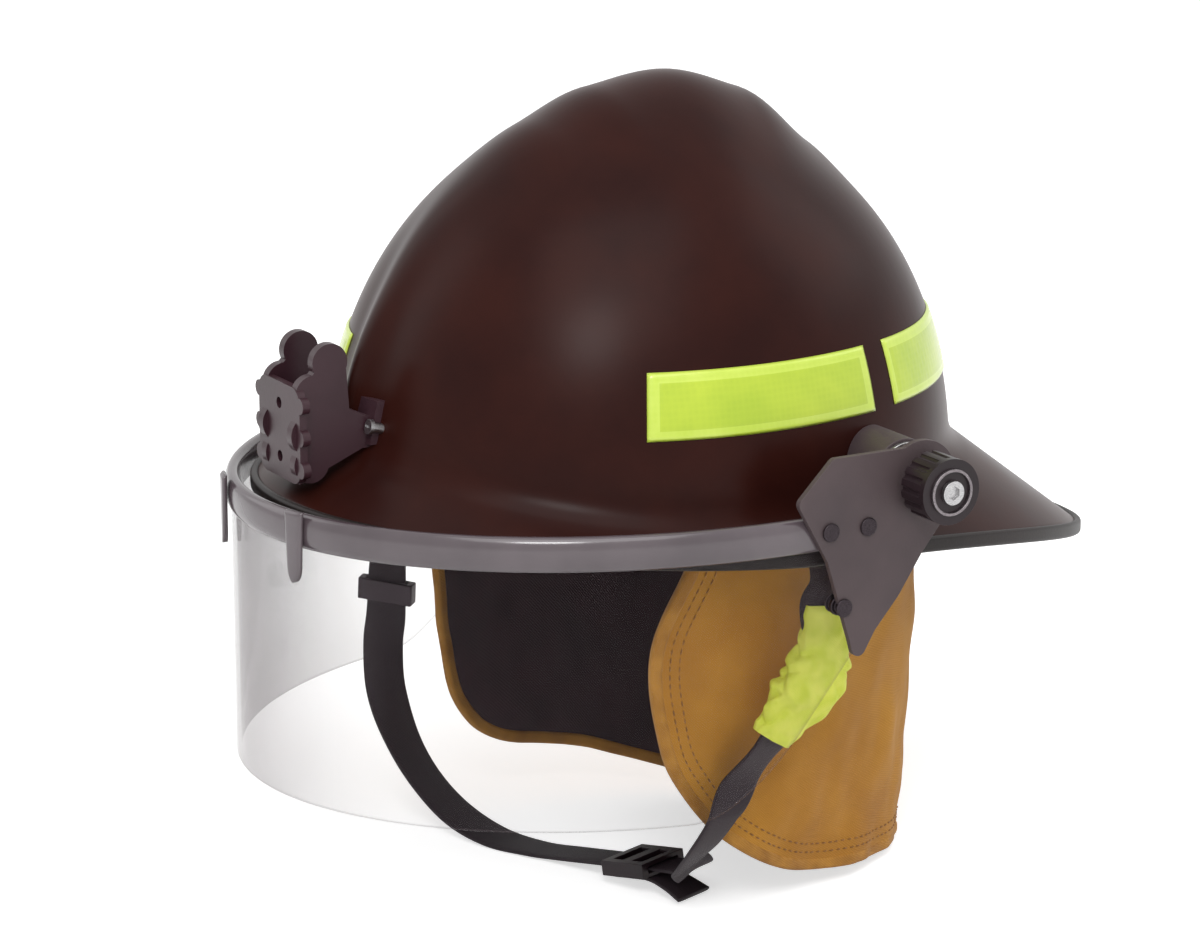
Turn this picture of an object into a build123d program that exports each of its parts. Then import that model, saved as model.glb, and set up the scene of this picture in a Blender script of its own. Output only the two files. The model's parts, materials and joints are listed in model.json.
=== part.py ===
from build123d import *
import math
import os

# Fire helmet with a swing-up face shield, in millimetres.
# -Y is the wearer's front, +X the wearer's left, +Z up. The origin is on the helmet's
# middle plane, at the height of the face shield frame's top edge: it is where the head sits.

# ---- shell ----
DOME_HALF_LENGTH = 125.0
DOME_HALF_WIDTH = 104.0
DOME_HEIGHT = 140.0
DOME_BASE_Z = -10.0
DOME_FULLNESS = 2.1
SHELL_WALL = 3.0
WALL_BOTTOM_Z = -12.0
CREST_HEIGHT = 13.2
CREST_WIDTH_FRONT = 8.0
CREST_WIDTH_CROWN = 36.0
# share of the crest height, by the angle in degrees from the front over the crown
CREST_PROFILE = [(0, 0.30), (22, 0.42), (40, 0.26), (58, 0.22), (72, 0.40), (83, 0.74),
                 (95, 1.00), (106, 0.80), (119, 0.24), (134, 0.02), (180, 0.0)]

# ---- brim ----
BRIM_HALF_WIDTH = 118.0
BRIM_FRONT = 153.0
BRIM_REAR = 190.0
BRIM_THICKNESS = 3.5
BRIM_EDGE_SIDE_Z = -16.0
BRIM_FRONT_RISE = 0.09
BRIM_REAR_FALL = 0.02
BRIM_REAR_CURVE = 0.00084
BRIM_ROOT_SIDE_Z = -6.0
BRIM_ROOT_FRONT_Z = 14.0
BRIM_ROOT_REAR_Z = 0.0
TRIM_EDGE_WIDTH = 2.2
TRIM_EDGE_LIP = 1.2

# ---- head and suspension ----
HEAD_WIDTH = 156.0
HEAD_LENGTH = 198.0
HEAD_CENTRE_Y = -6.0
BAND_THICKNESS = 1.6
BAND_HEIGHT = 38.0
BAND_CENTRE_Z = -4.0
PAD_THICKNESS = 3.4
LINER_THICKNESS = 9.0
LINER_BOTTOM_Z = 21.0
STRAP_WEB_WIDTH = 19.0
STRAP_WEB_THICKNESS = 1.6
CROWN_TOP_Z = 98.0
CROWN_PAD_RADIUS = 30.0
CROWN_PAD_THICKNESS = 5.0
CROWN_PAD_CURVE = 60.0
HANGER_WIDTH = 14.0
HANGER_HEIGHT = 7.0
HANGER_Z = 16.3
HANGER_ANGLES = (-118, -62, 55, 125)

# ---- ratchet ----
PINION_TEETH = 12
PINION_MODULE = 1.0
RACK_THICKNESS = 2.0
RACK_HEIGHT = 7.0
RACK_REACH_DEG = 12.0
RACK_ARC_DEG = 74.0
HOUSING_HALF_DEG = 25.0
HOUSING_WALL = 1.5
KNOB_DIAMETER = 32.0
KNOB_LENGTH = 9.0
KNOB_FLUTES = 20
KNOB_SEAT_DEPTH = 5.0
SHAFT_RADIUS = 3.0
PINION_LENGTH = 1.8
KEEPER_DEG = 60.0

# ---- reflective strips ----
STRIP_LENGTH = 94.0
STRIP_HEIGHT = 24.0
STRIP_THICKNESS = 0.9
STRIP_GAP = 13.0
STRIP_CENTRE_Y = -3.0
STRIP_CENTRE_Z = 38.5
FRONT_STRIP_START_DEG = 223.0
FRONT_STRIP_END_DEG = 259.0

# ---- face shield ----
SHIELD_FRONT = 165.0
SHIELD_HALF_WIDTH = 128.0
FRAME_THICKNESS = 6.0
FRAME_HEIGHT = 13.0
FRAME_REACH_Y = 24.0
LENS_THICKNESS = 2.0
LENS_BOTTOM_Z = -110.0
LENS_GROOVE_DEPTH = 5.0
PLATE_THICKNESS = 2.5
PIVOT_Y = 41.0
PIVOT_Z = 9.0
STUD_DIAMETER = 8.0
BOSS_DIAMETER = 26.0
WASHER_THICKNESS = 1.8
SHIELD_KNOB_DIAMETER = 24.4
SHIELD_KNOB_LENGTH = 14.0
SPRING_LENGTH = 4.0
SHIELD_KNOB_RIBS = 16
BOSS_END_X = 119.0
STUD_END_X = 146.0
PLATE_EAR_RADIUS = 15.0
LENS_REAR_Y = 18.0
FRAME_RIVETS = [(2.0, -5.0), (18.0, -5.0)]
LENS_RIVETS = [(8.0, -34.0)]
RIVET_RADIUS = 2.0
RIVET_HEAD_RADIUS = 3.4
CLIP_WIDTH = 8.0
CLIP_SPACING = 60.0

# ---- badge holder ----
HOLDER_WIDTH = 34.0
HOLDER_FACE_Y = -152.5
HOLDER_PLATE = 3.0
HOLDER_WEB = 4.0
HOLDER_HOLE_DIAMETER = 4.2
HOLDER_HOLE_SPACING = 20.0
HOLDER_HOLE_LOW_Z = 14.0
HOLDER_LOBES = [(-146.5, 13, 7), (-146.5, 24, 8), (-145.5, 39, 7), (-138.5, 50, 7)]
HOLDER_SCREW_Z = 24.0
HOLDER_TILT_DEG = 14.0
SCREW_RADIUS = 2.0

# ---- neck flap ----
FLAP_HALF_WIDTH_TOP = 96.5
FLAP_HALF_LENGTH_TOP = 118.0
FLAP_HALF_WIDTH_BOTTOM = 68.0
FLAP_HALF_LENGTH_BOTTOM = 111.0
FLAP_TOP_Z = 1.5
FLAP_BOTTOM_Z = -178.0
FLAP_CLOTH = 1.6
LINING_CLOTH = 1.0
FLAP_HEM_Y = 75.0
FLAP_HEM_Z = -168.0
FLAP_LEFT_EDGE = [(-28, 10), (-31, -20), (-43, -56), (-38, -92), (-28, -114), (-6, -139), (30, -160)]
FLAP_RIGHT_EDGE = [(-45, 10), (-47, -20), (-51, -56), (-50, -92), (-45, -118), (-26, -138), (18, -149)]
BINDING_WIDTH = 5.0
HOOK_BAND_HEIGHT = 9.0

# ---- chin strap ----
CHIN_WEB_WIDTH = 16.0
CHIN_WEB_THICKNESS = 1.8
LEFT_ANCHOR = (102.0, 17.0, -25.0)
RIGHT_ANCHOR = (-84.0, -65.0, -25.0)
HANGER_PLATE = 1.4
HANGER_PLATE_TOP_Z = 6.0
PIN_RADIUS = 1.5
LOOP_WALL = 1.4
LOOP_LENGTH = 10.0
HANGER_PLATE_WIDTH = 14.0
STRAP_RUN_START = (-14.0, -21.0, -170.0)
STRAP_RUN_END = (42.0, -4.0, -160.0)
BUCKLE_SHARE = 0.62
SLEEVE_STATIONS = (2, 5)
BUCKLE_LENGTH = 22.0
BUCKLE_WIDTH = 24.0
BUCKLE_HEIGHT = 6.0

# ---- clearances ----
SOFT_GAP = 0.3
RUN_GAP = 0.05
SEAT_GAP = 0.05
LINER_GAP = 0.8

SECTION_STEPS = 48
SECTION_HEIGHTS = [-12, 0, 14, 28, 42, 56, 70, 83, 94, 103, 111, 118, 124, 129]
CROWN_HEIGHTS = [133, 137, 140]


def blend_profile(table, value):
    """Smooth value between the pairs of a table."""
    for (a, low), (b, high) in zip(table, table[1:]):
        if value <= b:
            t = (value - a) / (b - a)
            t = t * t * (3 - 2 * t)
            return low + (high - low) * t
    return table[-1][1]


def dome_distance(x, y, z, crest=True):
    """Distance from the dome's centre to its surface, along the way to (x, y, z)."""
    length = math.sqrt(x * x + y * y + z * z)
    dx, dy, dz = x / length, y / length, z / length
    flat = math.hypot(dx / DOME_HALF_WIDTH, dy / DOME_HALF_LENGTH) ** DOME_FULLNESS
    tall = abs(dz / DOME_HEIGHT) ** DOME_FULLNESS
    radius = (flat + tall) ** (-1 / DOME_FULLNESS)
    if not crest:
        return radius
    angle = math.degrees(math.atan2(max(dz, 0.0), -dy))
    share = blend_profile(CREST_PROFILE, angle)
    spread = math.sin(math.radians(min(angle, 150))) ** 6
    width = CREST_WIDTH_FRONT + (CREST_WIDTH_CROWN - CREST_WIDTH_FRONT) * spread
    return radius + CREST_HEIGHT * share * math.exp(-((radius * dx / width) ** 2))


def dome_reach(angle, z, offset=0.0, crest=True, centre_y=0.0):
    """Horizontal distance to the dome surface from (0, centre_y, z), at an angle from +X."""
    low, high = 0.0, 260.0
    for _ in range(40):
        middle = (low + high) / 2
        x = middle * math.cos(angle)
        y = centre_y + middle * math.sin(angle)
        up = z - DOME_BASE_Z
        outside = math.sqrt(x * x + y * y + up * up) > dome_distance(x, y, up, crest) + offset
        if outside:
            high = middle
        else:
            low = middle
    return (low + high) / 2


def dome_section(z, offset, crest):
    """Closed horizontal section of the dome, with its points gathered at the crest."""
    centre_y = 12.0 * min(max((z - 100) / 30, 0.0), 1.0) if crest else 0.0
    points = []
    for i in range(SECTION_STEPS):
        turn = 2 * math.pi * i / SECTION_STEPS
        angle = turn + 0.33 * math.sin(2 * turn)
        reach = dome_reach(angle, z, offset, crest, centre_y)
        points.append((reach * math.cos(angle), centre_y + reach * math.sin(angle), z))
    return Wire([Edge.make_spline(points, periodic=True)])


def dome_solid(offset, bottom, crest=True):
    """Solid dome, its surface moved out by offset, flat at the bottom."""
    heights = [z for z in SECTION_HEIGHTS if z > bottom + 3]
    top = DOME_BASE_Z + DOME_HEIGHT + offset
    if crest:
        heights += CROWN_HEIGHTS
        top += CREST_HEIGHT
    heights = [bottom] + [z for z in heights if z < top - 3.5] + [top - 1.2]
    return Solid.make_loft([dome_section(z, offset, crest) for z in heights], ruled=True)


def brim_edge(angle, outward, drop):
    """Point on the brim's edge, at an angle from +X seen from above."""
    reach_y = BRIM_REAR if math.sin(angle) > 0 else BRIM_FRONT
    x = BRIM_HALF_WIDTH * math.cos(angle)
    y = reach_y * math.sin(angle)
    if y > 0:
        z = BRIM_EDGE_SIDE_Z - BRIM_REAR_FALL * y - BRIM_REAR_CURVE * y * y
    else:
        z = BRIM_EDGE_SIDE_Z - BRIM_FRONT_RISE * y
    length = math.hypot(x, y)
    return (x + outward * x / length, y + outward * y / length, z - drop)


def brim_root(angle, drop):
    """Point where the brim leaves the dome, in the middle of the dome's wall."""
    far = math.sin(angle) ** 2
    far_z = BRIM_ROOT_REAR_Z if math.sin(angle) > 0 else BRIM_ROOT_FRONT_Z
    z = BRIM_ROOT_SIDE_Z + (far_z - BRIM_ROOT_SIDE_Z) * far
    edge = brim_edge(angle, 0, 0)
    heading = math.atan2(edge[1], edge[0])
    reach = dome_reach(heading, z, -SHELL_WALL / 2, crest=False)
    return (reach * math.cos(heading), reach * math.sin(heading), z - drop)


def ring_solid(*corners):
    """Closed ring whose section's four corners follow four closed curves."""
    turns = [2 * math.pi * i / SECTION_STEPS for i in range(SECTION_STEPS)]
    edges = [Edge.make_spline([corner(turn) for turn in turns], periodic=True) for corner in corners]
    faces = [Face.make_surface_from_curves(a, b) for a, b in zip(edges, edges[1:] + edges[:1])]
    return Solid(Shell(faces))


def make_shell():
    outer = dome_solid(0.0, WALL_BOTTOM_Z)
    inner = dome_solid(-SHELL_WALL, WALL_BOTTOM_Z - 1)
    brim = ring_solid(lambda a: brim_root(a, 0), lambda a: brim_edge(a, 0, 0),
                      lambda a: brim_edge(a, 0, BRIM_THICKNESS), lambda a: brim_root(a, BRIM_THICKNESS))
    shell = (outer + brim) - inner
    for side in (1, -1):
        shell -= along_x(STUD_DIAMETER / 2 + SEAT_GAP, side * 80, side * 130)
        shell -= holder_screw_place(side) * Cylinder(SCREW_RADIUS + SEAT_GAP, 40)
    return shell


def make_edge_trim():
    lip = TRIM_EDGE_LIP
    return ring_solid(lambda a: brim_edge(a, SEAT_GAP, -lip),
                      lambda a: brim_edge(a, TRIM_EDGE_WIDTH, -lip),
                      lambda a: brim_edge(a, TRIM_EDGE_WIDTH, BRIM_THICKNESS + lip),
                      lambda a: brim_edge(a, SEAT_GAP, BRIM_THICKNESS + lip))


def along_x(radius, start, end, y=PIVOT_Y, z=PIVOT_Z):
    """Cylinder along X from start to end."""
    length = abs(end - start)
    middle = (start + end) / 2
    return Pos(middle, y, z) * Rot(0, 90, 0) * Cylinder(radius, length)


def make_impact_liner():
    outer_offset = -SHELL_WALL - LINER_GAP
    outer = dome_solid(outer_offset, LINER_BOTTOM_Z, crest=False)
    inner = dome_solid(outer_offset - LINER_THICKNESS, LINER_BOTTOM_Z - 1, crest=False)
    return outer - inner


# ---------------------------------------------------------------- suspension
HEAD_RADIUS = HEAD_WIDTH / 2
ARC_CENTRE_Y = HEAD_CENTRE_Y + HEAD_LENGTH / 2 - HEAD_RADIUS
FRONT_ARC_Y = HEAD_CENTRE_Y - HEAD_LENGTH / 2 + HEAD_RADIUS
BAND_OUTER = HEAD_RADIUS + BAND_THICKNESS
RACK_INNER = BAND_OUTER + SOFT_GAP
RACK_OUTER = RACK_INNER + RACK_THICKNESS
RACK_MIDDLE = (RACK_INNER + RACK_OUTER) / 2
STRAP_END_Z = BAND_CENTRE_Z + BAND_HEIGHT / 2 - 2.2
PINION_RADIUS = PINION_TEETH * PINION_MODULE / 2
TOOTH_PITCH = math.pi * PINION_MODULE
COVER_INNER = RACK_OUTER + SOFT_GAP
HOUSING_OUTER = COVER_INNER + HOUSING_WALL
HOUSING_HALF_HEIGHT = PINION_RADIUS + 1.15 * PINION_MODULE + RACK_HEIGHT + SOFT_GAP + 0.75
KNOB_BACK_Y = ARC_CENTRE_Y + HOUSING_OUTER + 1.5


def stadium(radius, half_straight_front, half_straight_rear, bottom, height):
    """Upright prism with a round front and rear, as a head is seen from above."""
    front = Pos(0, half_straight_front, bottom) * extrude(Circle(radius), height)
    rear = Pos(0, half_straight_rear, bottom) * extrude(Circle(radius), height)
    middle_y = (half_straight_front + half_straight_rear) / 2
    length = half_straight_rear - half_straight_front
    middle = Pos(0, middle_y, bottom) * extrude(Rectangle(2 * radius, length), height)
    return front + rear + middle


def arc_band(inner, outer, bottom, height, start_deg, end_deg, centre_y=ARC_CENTRE_Y):
    """Part of a round band about the vertical line at centre_y; angles from +X."""
    profile = Plane.XZ * Pos((inner + outer) / 2, bottom + height / 2) * Rectangle(outer - inner, height)
    band = revolve(profile, Axis.Z, end_deg - start_deg)
    return Pos(0, centre_y, 0) * Rot(0, 0, start_deg) * band


def band_around(inner, outer, bottom, height):
    """Closed band round the head."""
    whole = stadium(outer, FRONT_ARC_Y, ARC_CENTRE_Y, bottom, height)
    return whole - stadium(inner, FRONT_ARC_Y, ARC_CENTRE_Y, bottom - 1, height + 2)


def make_headband():
    bottom = BAND_CENTRE_Z - BAND_HEIGHT / 2
    return band_around(HEAD_RADIUS, BAND_OUTER, bottom, BAND_HEIGHT)


def make_brow_pad():
    outer = HEAD_RADIUS - SOFT_GAP
    bottom = BAND_CENTRE_Z - BAND_HEIGHT / 2 + 2
    return arc_band(outer - PAD_THICKNESS, outer, bottom, BAND_HEIGHT - 4, 205, 335, FRONT_ARC_Y)


def make_nape_pad():
    outer = HEAD_RADIUS - SOFT_GAP
    bottom = BAND_CENTRE_Z - BAND_HEIGHT / 2 + 2
    return arc_band(outer - PAD_THICKNESS, outer, bottom, BAND_HEIGHT - 4, 50, 130)


def crown_strap(half_span, top):
    """One webbing strap over the head, in the XZ plane, from half_span to -half_span."""
    arch = Ellipse(half_span + STRAP_WEB_THICKNESS, top + STRAP_WEB_THICKNESS - STRAP_END_Z)
    arch -= Ellipse(half_span, top - STRAP_END_Z)
    arch &= Pos(0, 200) * Rectangle(400, 400)
    return extrude(Plane.XZ * arch, STRAP_WEB_WIDTH / 2, both=True)


def make_crown_straps():
    across = crown_strap(BAND_OUTER + SOFT_GAP, CROWN_TOP_Z)
    half_length = HEAD_LENGTH / 2 + BAND_THICKNESS + SOFT_GAP
    along = Rot(0, 0, 90) * crown_strap(half_length, CROWN_TOP_Z + STRAP_WEB_THICKNESS + SOFT_GAP)
    place = Pos(0, HEAD_CENTRE_Y, STRAP_END_Z)
    return Compound([*(place * across).solids(), *(place * along).solids()])


def make_crown_pad():
    centre = Pos(0, HEAD_CENTRE_Y, CROWN_TOP_Z - SOFT_GAP - CROWN_PAD_CURVE)
    cap = centre * (Sphere(CROWN_PAD_CURVE) - Sphere(CROWN_PAD_CURVE - CROWN_PAD_THICKNESS))
    return cap & (centre * extrude(Circle(CROWN_PAD_RADIUS), CROWN_PAD_CURVE + 1))


# ---------------------------------------------------------------- ratchet
def star_wheel(teeth, radius, length):
    """Toothed wheel along Z with straight-sided teeth, one of them on +Y."""
    module = 2 * radius / teeth
    root = radius - 1.35 * module
    tip = radius + 0.85 * module
    wheel = Circle(root + 0.1)
    tooth = Polygon((-0.85 * module, root - 0.3), (0.85 * module, root - 0.3), (0.55 * module, radius),
                    (0.28 * module, tip), (-0.28 * module, tip), (-0.55 * module, radius), align=None)
    for i in range(teeth):
        wheel += Rot(0, 0, 360 * i / teeth) * tooth
    return extrude(wheel, length / 2, both=True)


def rack(side, above):
    """Curved toothed strip: side +1 comes from the left, above True runs over the pinion."""
    start, end = 90 - RACK_ARC_DEG, 90 + RACK_REACH_DEG
    if side < 0:
        start, end = 90 - RACK_REACH_DEG, 90 + RACK_ARC_DEG
    up = 1 if above else -1
    root = PINION_RADIUS + 1.15 * PINION_MODULE
    low = min(up * root, up * (root + RACK_HEIGHT))
    strip = arc_band(RACK_INNER, RACK_OUTER, BAND_CENTRE_Z + low, RACK_HEIGHT, start, end)
    pitch_deg = math.degrees(TOOTH_PITCH / RACK_MIDDLE)
    half = PINION_MODULE
    tooth = Polygon((-0.85 * half, root + 0.2), (0.85 * half, root + 0.2), (0.55 * half, PINION_RADIUS),
                    (0.3 * half, PINION_RADIUS - 0.85 * half), (-0.3 * half, PINION_RADIUS - 0.85 * half),
                    (-0.55 * half, PINION_RADIUS), align=None)
    solid = extrude(Plane.XZ * tooth, RACK_THICKNESS / 2, both=True)
    reach = int(RACK_REACH_DEG / pitch_deg)
    for i in range(-reach, reach):
        place = Pos(0, ARC_CENTRE_Y, BAND_CENTRE_Z) * Rot(0, 0, (i + 0.5) * pitch_deg)
        flip = Rot(0, 0, 0) if above else Rot(0, 180, 0)
        strip += place * Pos(0, RACK_MIDDLE, 0) * flip * solid
    return strip


def make_left_rack():
    return rack(1, True)


def make_right_rack():
    return rack(-1, False)


def at_knob(y):
    """Place whose Z runs rearward along the ratchet knob's axis, from y."""
    return Pos(0, y, BAND_CENTRE_Z) * Rot(-90, 0, 0)


def make_ratchet_pinion():
    wheel = at_knob(ARC_CENTRE_Y + RACK_MIDDLE) * star_wheel(PINION_TEETH, PINION_RADIUS, PINION_LENGTH)
    start = ARC_CENTRE_Y + RACK_MIDDLE
    shaft = at_knob(start) * extrude(Circle(SHAFT_RADIUS), KNOB_BACK_Y + KNOB_SEAT_DEPTH - start)
    return wheel + shaft


def make_ratchet_housing():
    """Inner wall with a lip above and below the racks."""
    half = HOUSING_HALF_HEIGHT
    span = (90 - HOUSING_HALF_DEG, 90 + HOUSING_HALF_DEG)
    lips = [arc_band(BAND_OUTER + SEAT_GAP, COVER_INNER, BAND_CENTRE_Z + side * half - 0.75, 1.5, *span)
            for side in (1, -1)]
    return Compound([*lips[0].solids(), *lips[1].solids()])


def make_ratchet_cover():
    half = HOUSING_HALF_HEIGHT + 0.75
    span = (90 - HOUSING_HALF_DEG, 90 + HOUSING_HALF_DEG)
    cover = arc_band(COVER_INNER, HOUSING_OUTER, BAND_CENTRE_Z - half, 2 * half, *span)
    boss = at_knob(ARC_CENTRE_Y + COVER_INNER) * extrude(Circle(SHAFT_RADIUS + 3), KNOB_BACK_Y - SOFT_GAP
                                                         - ARC_CENTRE_Y - COVER_INNER)
    hole = at_knob(ARC_CENTRE_Y) * extrude(Circle(SHAFT_RADIUS + RUN_GAP), 120)
    return (cover + boss) - hole


def make_ratchet_knob():
    knob = extrude(Circle(KNOB_DIAMETER / 2), KNOB_LENGTH)
    for i in range(KNOB_FLUTES):
        knob -= Rot(0, 0, 360 * i / KNOB_FLUTES) * Pos(KNOB_DIAMETER / 2 + 0.6, 0, -1) * extrude(Circle(1.6), 20)
    socket = extrude(Circle(SHAFT_RADIUS), KNOB_SEAT_DEPTH)
    return at_knob(KNOB_BACK_Y) * (knob - socket)


def make_rack_keepers():
    """Two loops that hold the racks' front ends against the headband."""
    half = HOUSING_HALF_HEIGHT
    loops = []
    for side in (1, -1):
        middle = 90 - side * KEEPER_DEG
        span = (middle - 2.5, middle + 2.5)
        loop = arc_band(RACK_OUTER + SOFT_GAP, HOUSING_OUTER, BAND_CENTRE_Z - half, 2 * half, *span)
        for end in (1, -1):
            loop += arc_band(BAND_OUTER, HOUSING_OUTER, BAND_CENTRE_Z + end * half - 0.75, 1.5, *span)
        loops += loop.solids()
    return Compound(loops)


def make_suspension_hangers():
    """Four brackets that carry the headband from the shell."""
    inside = dome_solid(-SHELL_WALL - SEAT_GAP, WALL_BOTTOM_Z + 1, crest=False)
    band = stadium(BAND_OUTER + SEAT_GAP, FRONT_ARC_Y, ARC_CENTRE_Y, -50, 100)
    hangers = []
    for turn in HANGER_ANGLES:
        block = Pos(0, HEAD_CENTRE_Y, HANGER_Z) * Rot(0, 0, turn) * Pos(95, 0, 0) * Box(60, HANGER_WIDTH, HANGER_HEIGHT)
        hangers += ((block & inside) - band).solids()
    return Compound(hangers)


# ---------------------------------------------------------------- dome fittings
def dome_slice(offset, crest=False):
    """The middle heights of the dome, its surface moved out by offset."""
    heights = [z for z in SECTION_HEIGHTS if z < 75]
    return Solid.make_loft([dome_section(z, offset, crest) for z in heights], ruled=True)


def wedge(start_deg, end_deg, bottom, height):
    """Slice of a tall ring between two angles from +X, seen from above."""
    return arc_band(20, 220, bottom, height, start_deg, end_deg, 0)


def make_strips():
    """Five reflective strips, bonded to the dome."""
    skin = dome_slice(SEAT_GAP + STRIP_THICKNESS) - dome_slice(SEAT_GAP)
    bottom = STRIP_CENTRE_Z - STRIP_HEIGHT / 2
    strips = {}
    for name, side in (("left", 1), ("right", -1)):
        block = Pos(side * 100, STRIP_CENTRE_Y, STRIP_CENTRE_Z) * Box(100, STRIP_LENGTH, STRIP_HEIGHT)
        strips["trim_side_" + name] = skin & block
    rear_start = math.degrees(math.atan2(STRIP_CENTRE_Y + STRIP_LENGTH / 2 + STRIP_GAP, 90))
    rear_span = math.degrees(STRIP_LENGTH / 108)
    strips["trim_rear_left"] = skin & wedge(rear_start, rear_start + rear_span, bottom, STRIP_HEIGHT)
    strips["trim_rear_right"] = skin & wedge(180 - rear_start - rear_span, 180 - rear_start, bottom, STRIP_HEIGHT)
    front = wedge(FRONT_STRIP_START_DEG, FRONT_STRIP_END_DEG, bottom, STRIP_HEIGHT)
    strips["trim_front_right"] = skin & front
    return strips


def make_badge_holder():
    """Foot on the dome, two scalloped webs and a front plate with two badge holes."""
    body_outline = Polygon((HOLDER_FACE_Y + 1, 6), (HOLDER_FACE_Y + 1, 40), (-137, 55), (-132, 47), (-131, 32),
                           (-110, 22), (-110, 17), (-126, 16.5), align=None)
    for y, z, radius in HOLDER_LOBES:
        body_outline += Pos(y, z) * Circle(radius)
    holder = Part()
    for side in (1, -1):
        middle = side * (HOLDER_WIDTH / 2 - HOLDER_WEB / 2 - 3)
        holder += Pos(middle, 0, 0) * extrude(Plane.YZ * body_outline, HOLDER_WEB / 2, both=True)
    plate = Pos(0, 24) * RectangleRounded(HOLDER_WIDTH, 36, 6)
    for z in (12, 24, 36):
        for side in (1, -1):
            plate += Pos(side * HOLDER_WIDTH / 2, z) * Circle(3)
    place = Plane.XZ.offset(-HOLDER_FACE_Y - HOLDER_PLATE)
    holder += extrude(place * plate, HOLDER_PLATE)
    holder += Pos(0, HOLDER_FACE_Y + 9, 24) * Box(HOLDER_WIDTH - 8, 14, 4)
    foot = dome_slice(SEAT_GAP + HOLDER_PLATE) & (Pos(0, -125, 26) * Box(HOLDER_WIDTH, 60, 16))
    holder = (holder + foot) - dome_slice(SEAT_GAP, crest=True)
    for z in (HOLDER_HOLE_LOW_Z, HOLDER_HOLE_LOW_Z + HOLDER_HOLE_SPACING):
        holder -= Pos(0, HOLDER_FACE_Y, z) * Rot(90, 0, 0) * Cylinder(HOLDER_HOLE_DIAMETER / 2, 12)
    for side in (1, -1):
        holder -= holder_screw_place(side) * Cylinder(SCREW_RADIUS + SEAT_GAP, 40)
    return holder


def holder_screw_place(side):
    """On the dome under the holder's foot, with Z pointing outward."""
    x = side * (HOLDER_WIDTH / 2 - 4)
    heading = math.atan2(-DOME_HALF_LENGTH, x * 1.4)
    reach = dome_reach(heading, HOLDER_SCREW_Z, 0, False)
    y = reach * math.sin(heading)
    return Pos(reach * math.cos(heading), y, HOLDER_SCREW_Z) * Rot(90 - HOLDER_TILT_DEG, 0, 0)


def make_holder_screws():
    screws = []
    for side in (1, -1):
        lift = HOLDER_PLATE + 16 * SEAT_GAP
        head = Pos(0, 0, lift) * extrude(Circle(2.8), 1.6)
        shank = Pos(0, 0, -SHELL_WALL) * extrude(Circle(SCREW_RADIUS), SHELL_WALL + lift)
        slot = Pos(0, 0, lift + 1.6) * Box(4, 0.9, 1.4)
        screws += (holder_screw_place(side) * ((head + shank) - slot)).solids()
    return Compound(screws)


# ---------------------------------------------------------------- face shield
def shield_plan(inset, reach):
    """Seen from above: a half ellipse in front with straight arms running back."""
    half_width = SHIELD_HALF_WIDTH - inset
    front = Ellipse(half_width, SHIELD_FRONT - inset) & (Pos(0, -300) * Rectangle(600, 600))
    return front + Pos(0, reach / 2) * Rectangle(2 * half_width, reach)


def shield_wall(inset, thickness, reach, bottom, height):
    band = shield_plan(inset, reach) - shield_plan(inset + thickness, reach + 1)
    return Pos(0, 0, bottom) * extrude(band, height)


LENS_INSET = (FRAME_THICKNESS - LENS_THICKNESS) / 2


def make_visor_frame():
    frame = shield_wall(0, FRAME_THICKNESS, FRAME_REACH_Y, -FRAME_HEIGHT, FRAME_HEIGHT)
    groove_wall = LENS_THICKNESS + 2 * SEAT_GAP
    frame -= shield_wall(LENS_INSET - SEAT_GAP, groove_wall, FRAME_REACH_Y + 5, -FRAME_HEIGHT - 1,
                         LENS_GROOVE_DEPTH + 1)
    for place in rivet_places(FRAME_RIVETS):
        frame -= place * Cylinder(RIVET_RADIUS + SEAT_GAP, 30)
    return frame


def make_visor_lens():
    top = -FRAME_HEIGHT + LENS_GROOVE_DEPTH - SEAT_GAP
    lens = shield_wall(LENS_INSET, LENS_THICKNESS, FRAME_REACH_Y, LENS_BOTTOM_Z, top - LENS_BOTTOM_Z)
    side = Polygon((-220, 30), (LENS_REAR_Y, 30), (LENS_REAR_Y, -50), (-16, -92), (-40, LENS_BOTTOM_Z - 1),
                   (-220, LENS_BOTTOM_Z - 1), align=None)
    side = fillet(side.vertices().group_by(Axis.X)[1:], 18)
    lens &= extrude(Plane.YZ * side, 200, both=True)
    for place in rivet_places(LENS_RIVETS):
        lens -= place * Cylinder(RIVET_RADIUS + SEAT_GAP, 30)
    return lens


def make_visor_plate(side):
    """Kite-shaped side plate that joins the frame and the lens to the pivot."""
    outline = Polygon((-12, 7), (1, -16), (11, -47), (14, -58), (22, -44.5), (32, -33), (42, -18), (55, -2),
                      (PIVOT_Y, PIVOT_Z + 13), (20, 22), (3, 22), align=None)
    outline = fillet(outline.vertices(), 3)
    outline += Pos(PIVOT_Y, PIVOT_Z) * Circle(PLATE_EAR_RADIUS)
    outline -= Pos(PIVOT_Y, PIVOT_Z) * Circle(STUD_DIAMETER / 2 + RUN_GAP)
    start = SHIELD_HALF_WIDTH if side > 0 else -SHIELD_HALF_WIDTH - PLATE_THICKNESS
    plate = Pos(start, 0, 0) * extrude(Plane.YZ * outline, PLATE_THICKNESS)
    for place in rivet_places(FRAME_RIVETS + LENS_RIVETS):
        plate -= place * Cylinder(RIVET_RADIUS + SEAT_GAP, 30)
    return plate


def rivet_places(points):
    """Places on both side plates, with Z pointing outward along X."""
    places = []
    for side in (1, -1):
        for y, z in points:
            places.append(Pos(side * SHIELD_HALF_WIDTH, y, z) * Rot(0, side * 90, 0))
    return places


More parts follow.
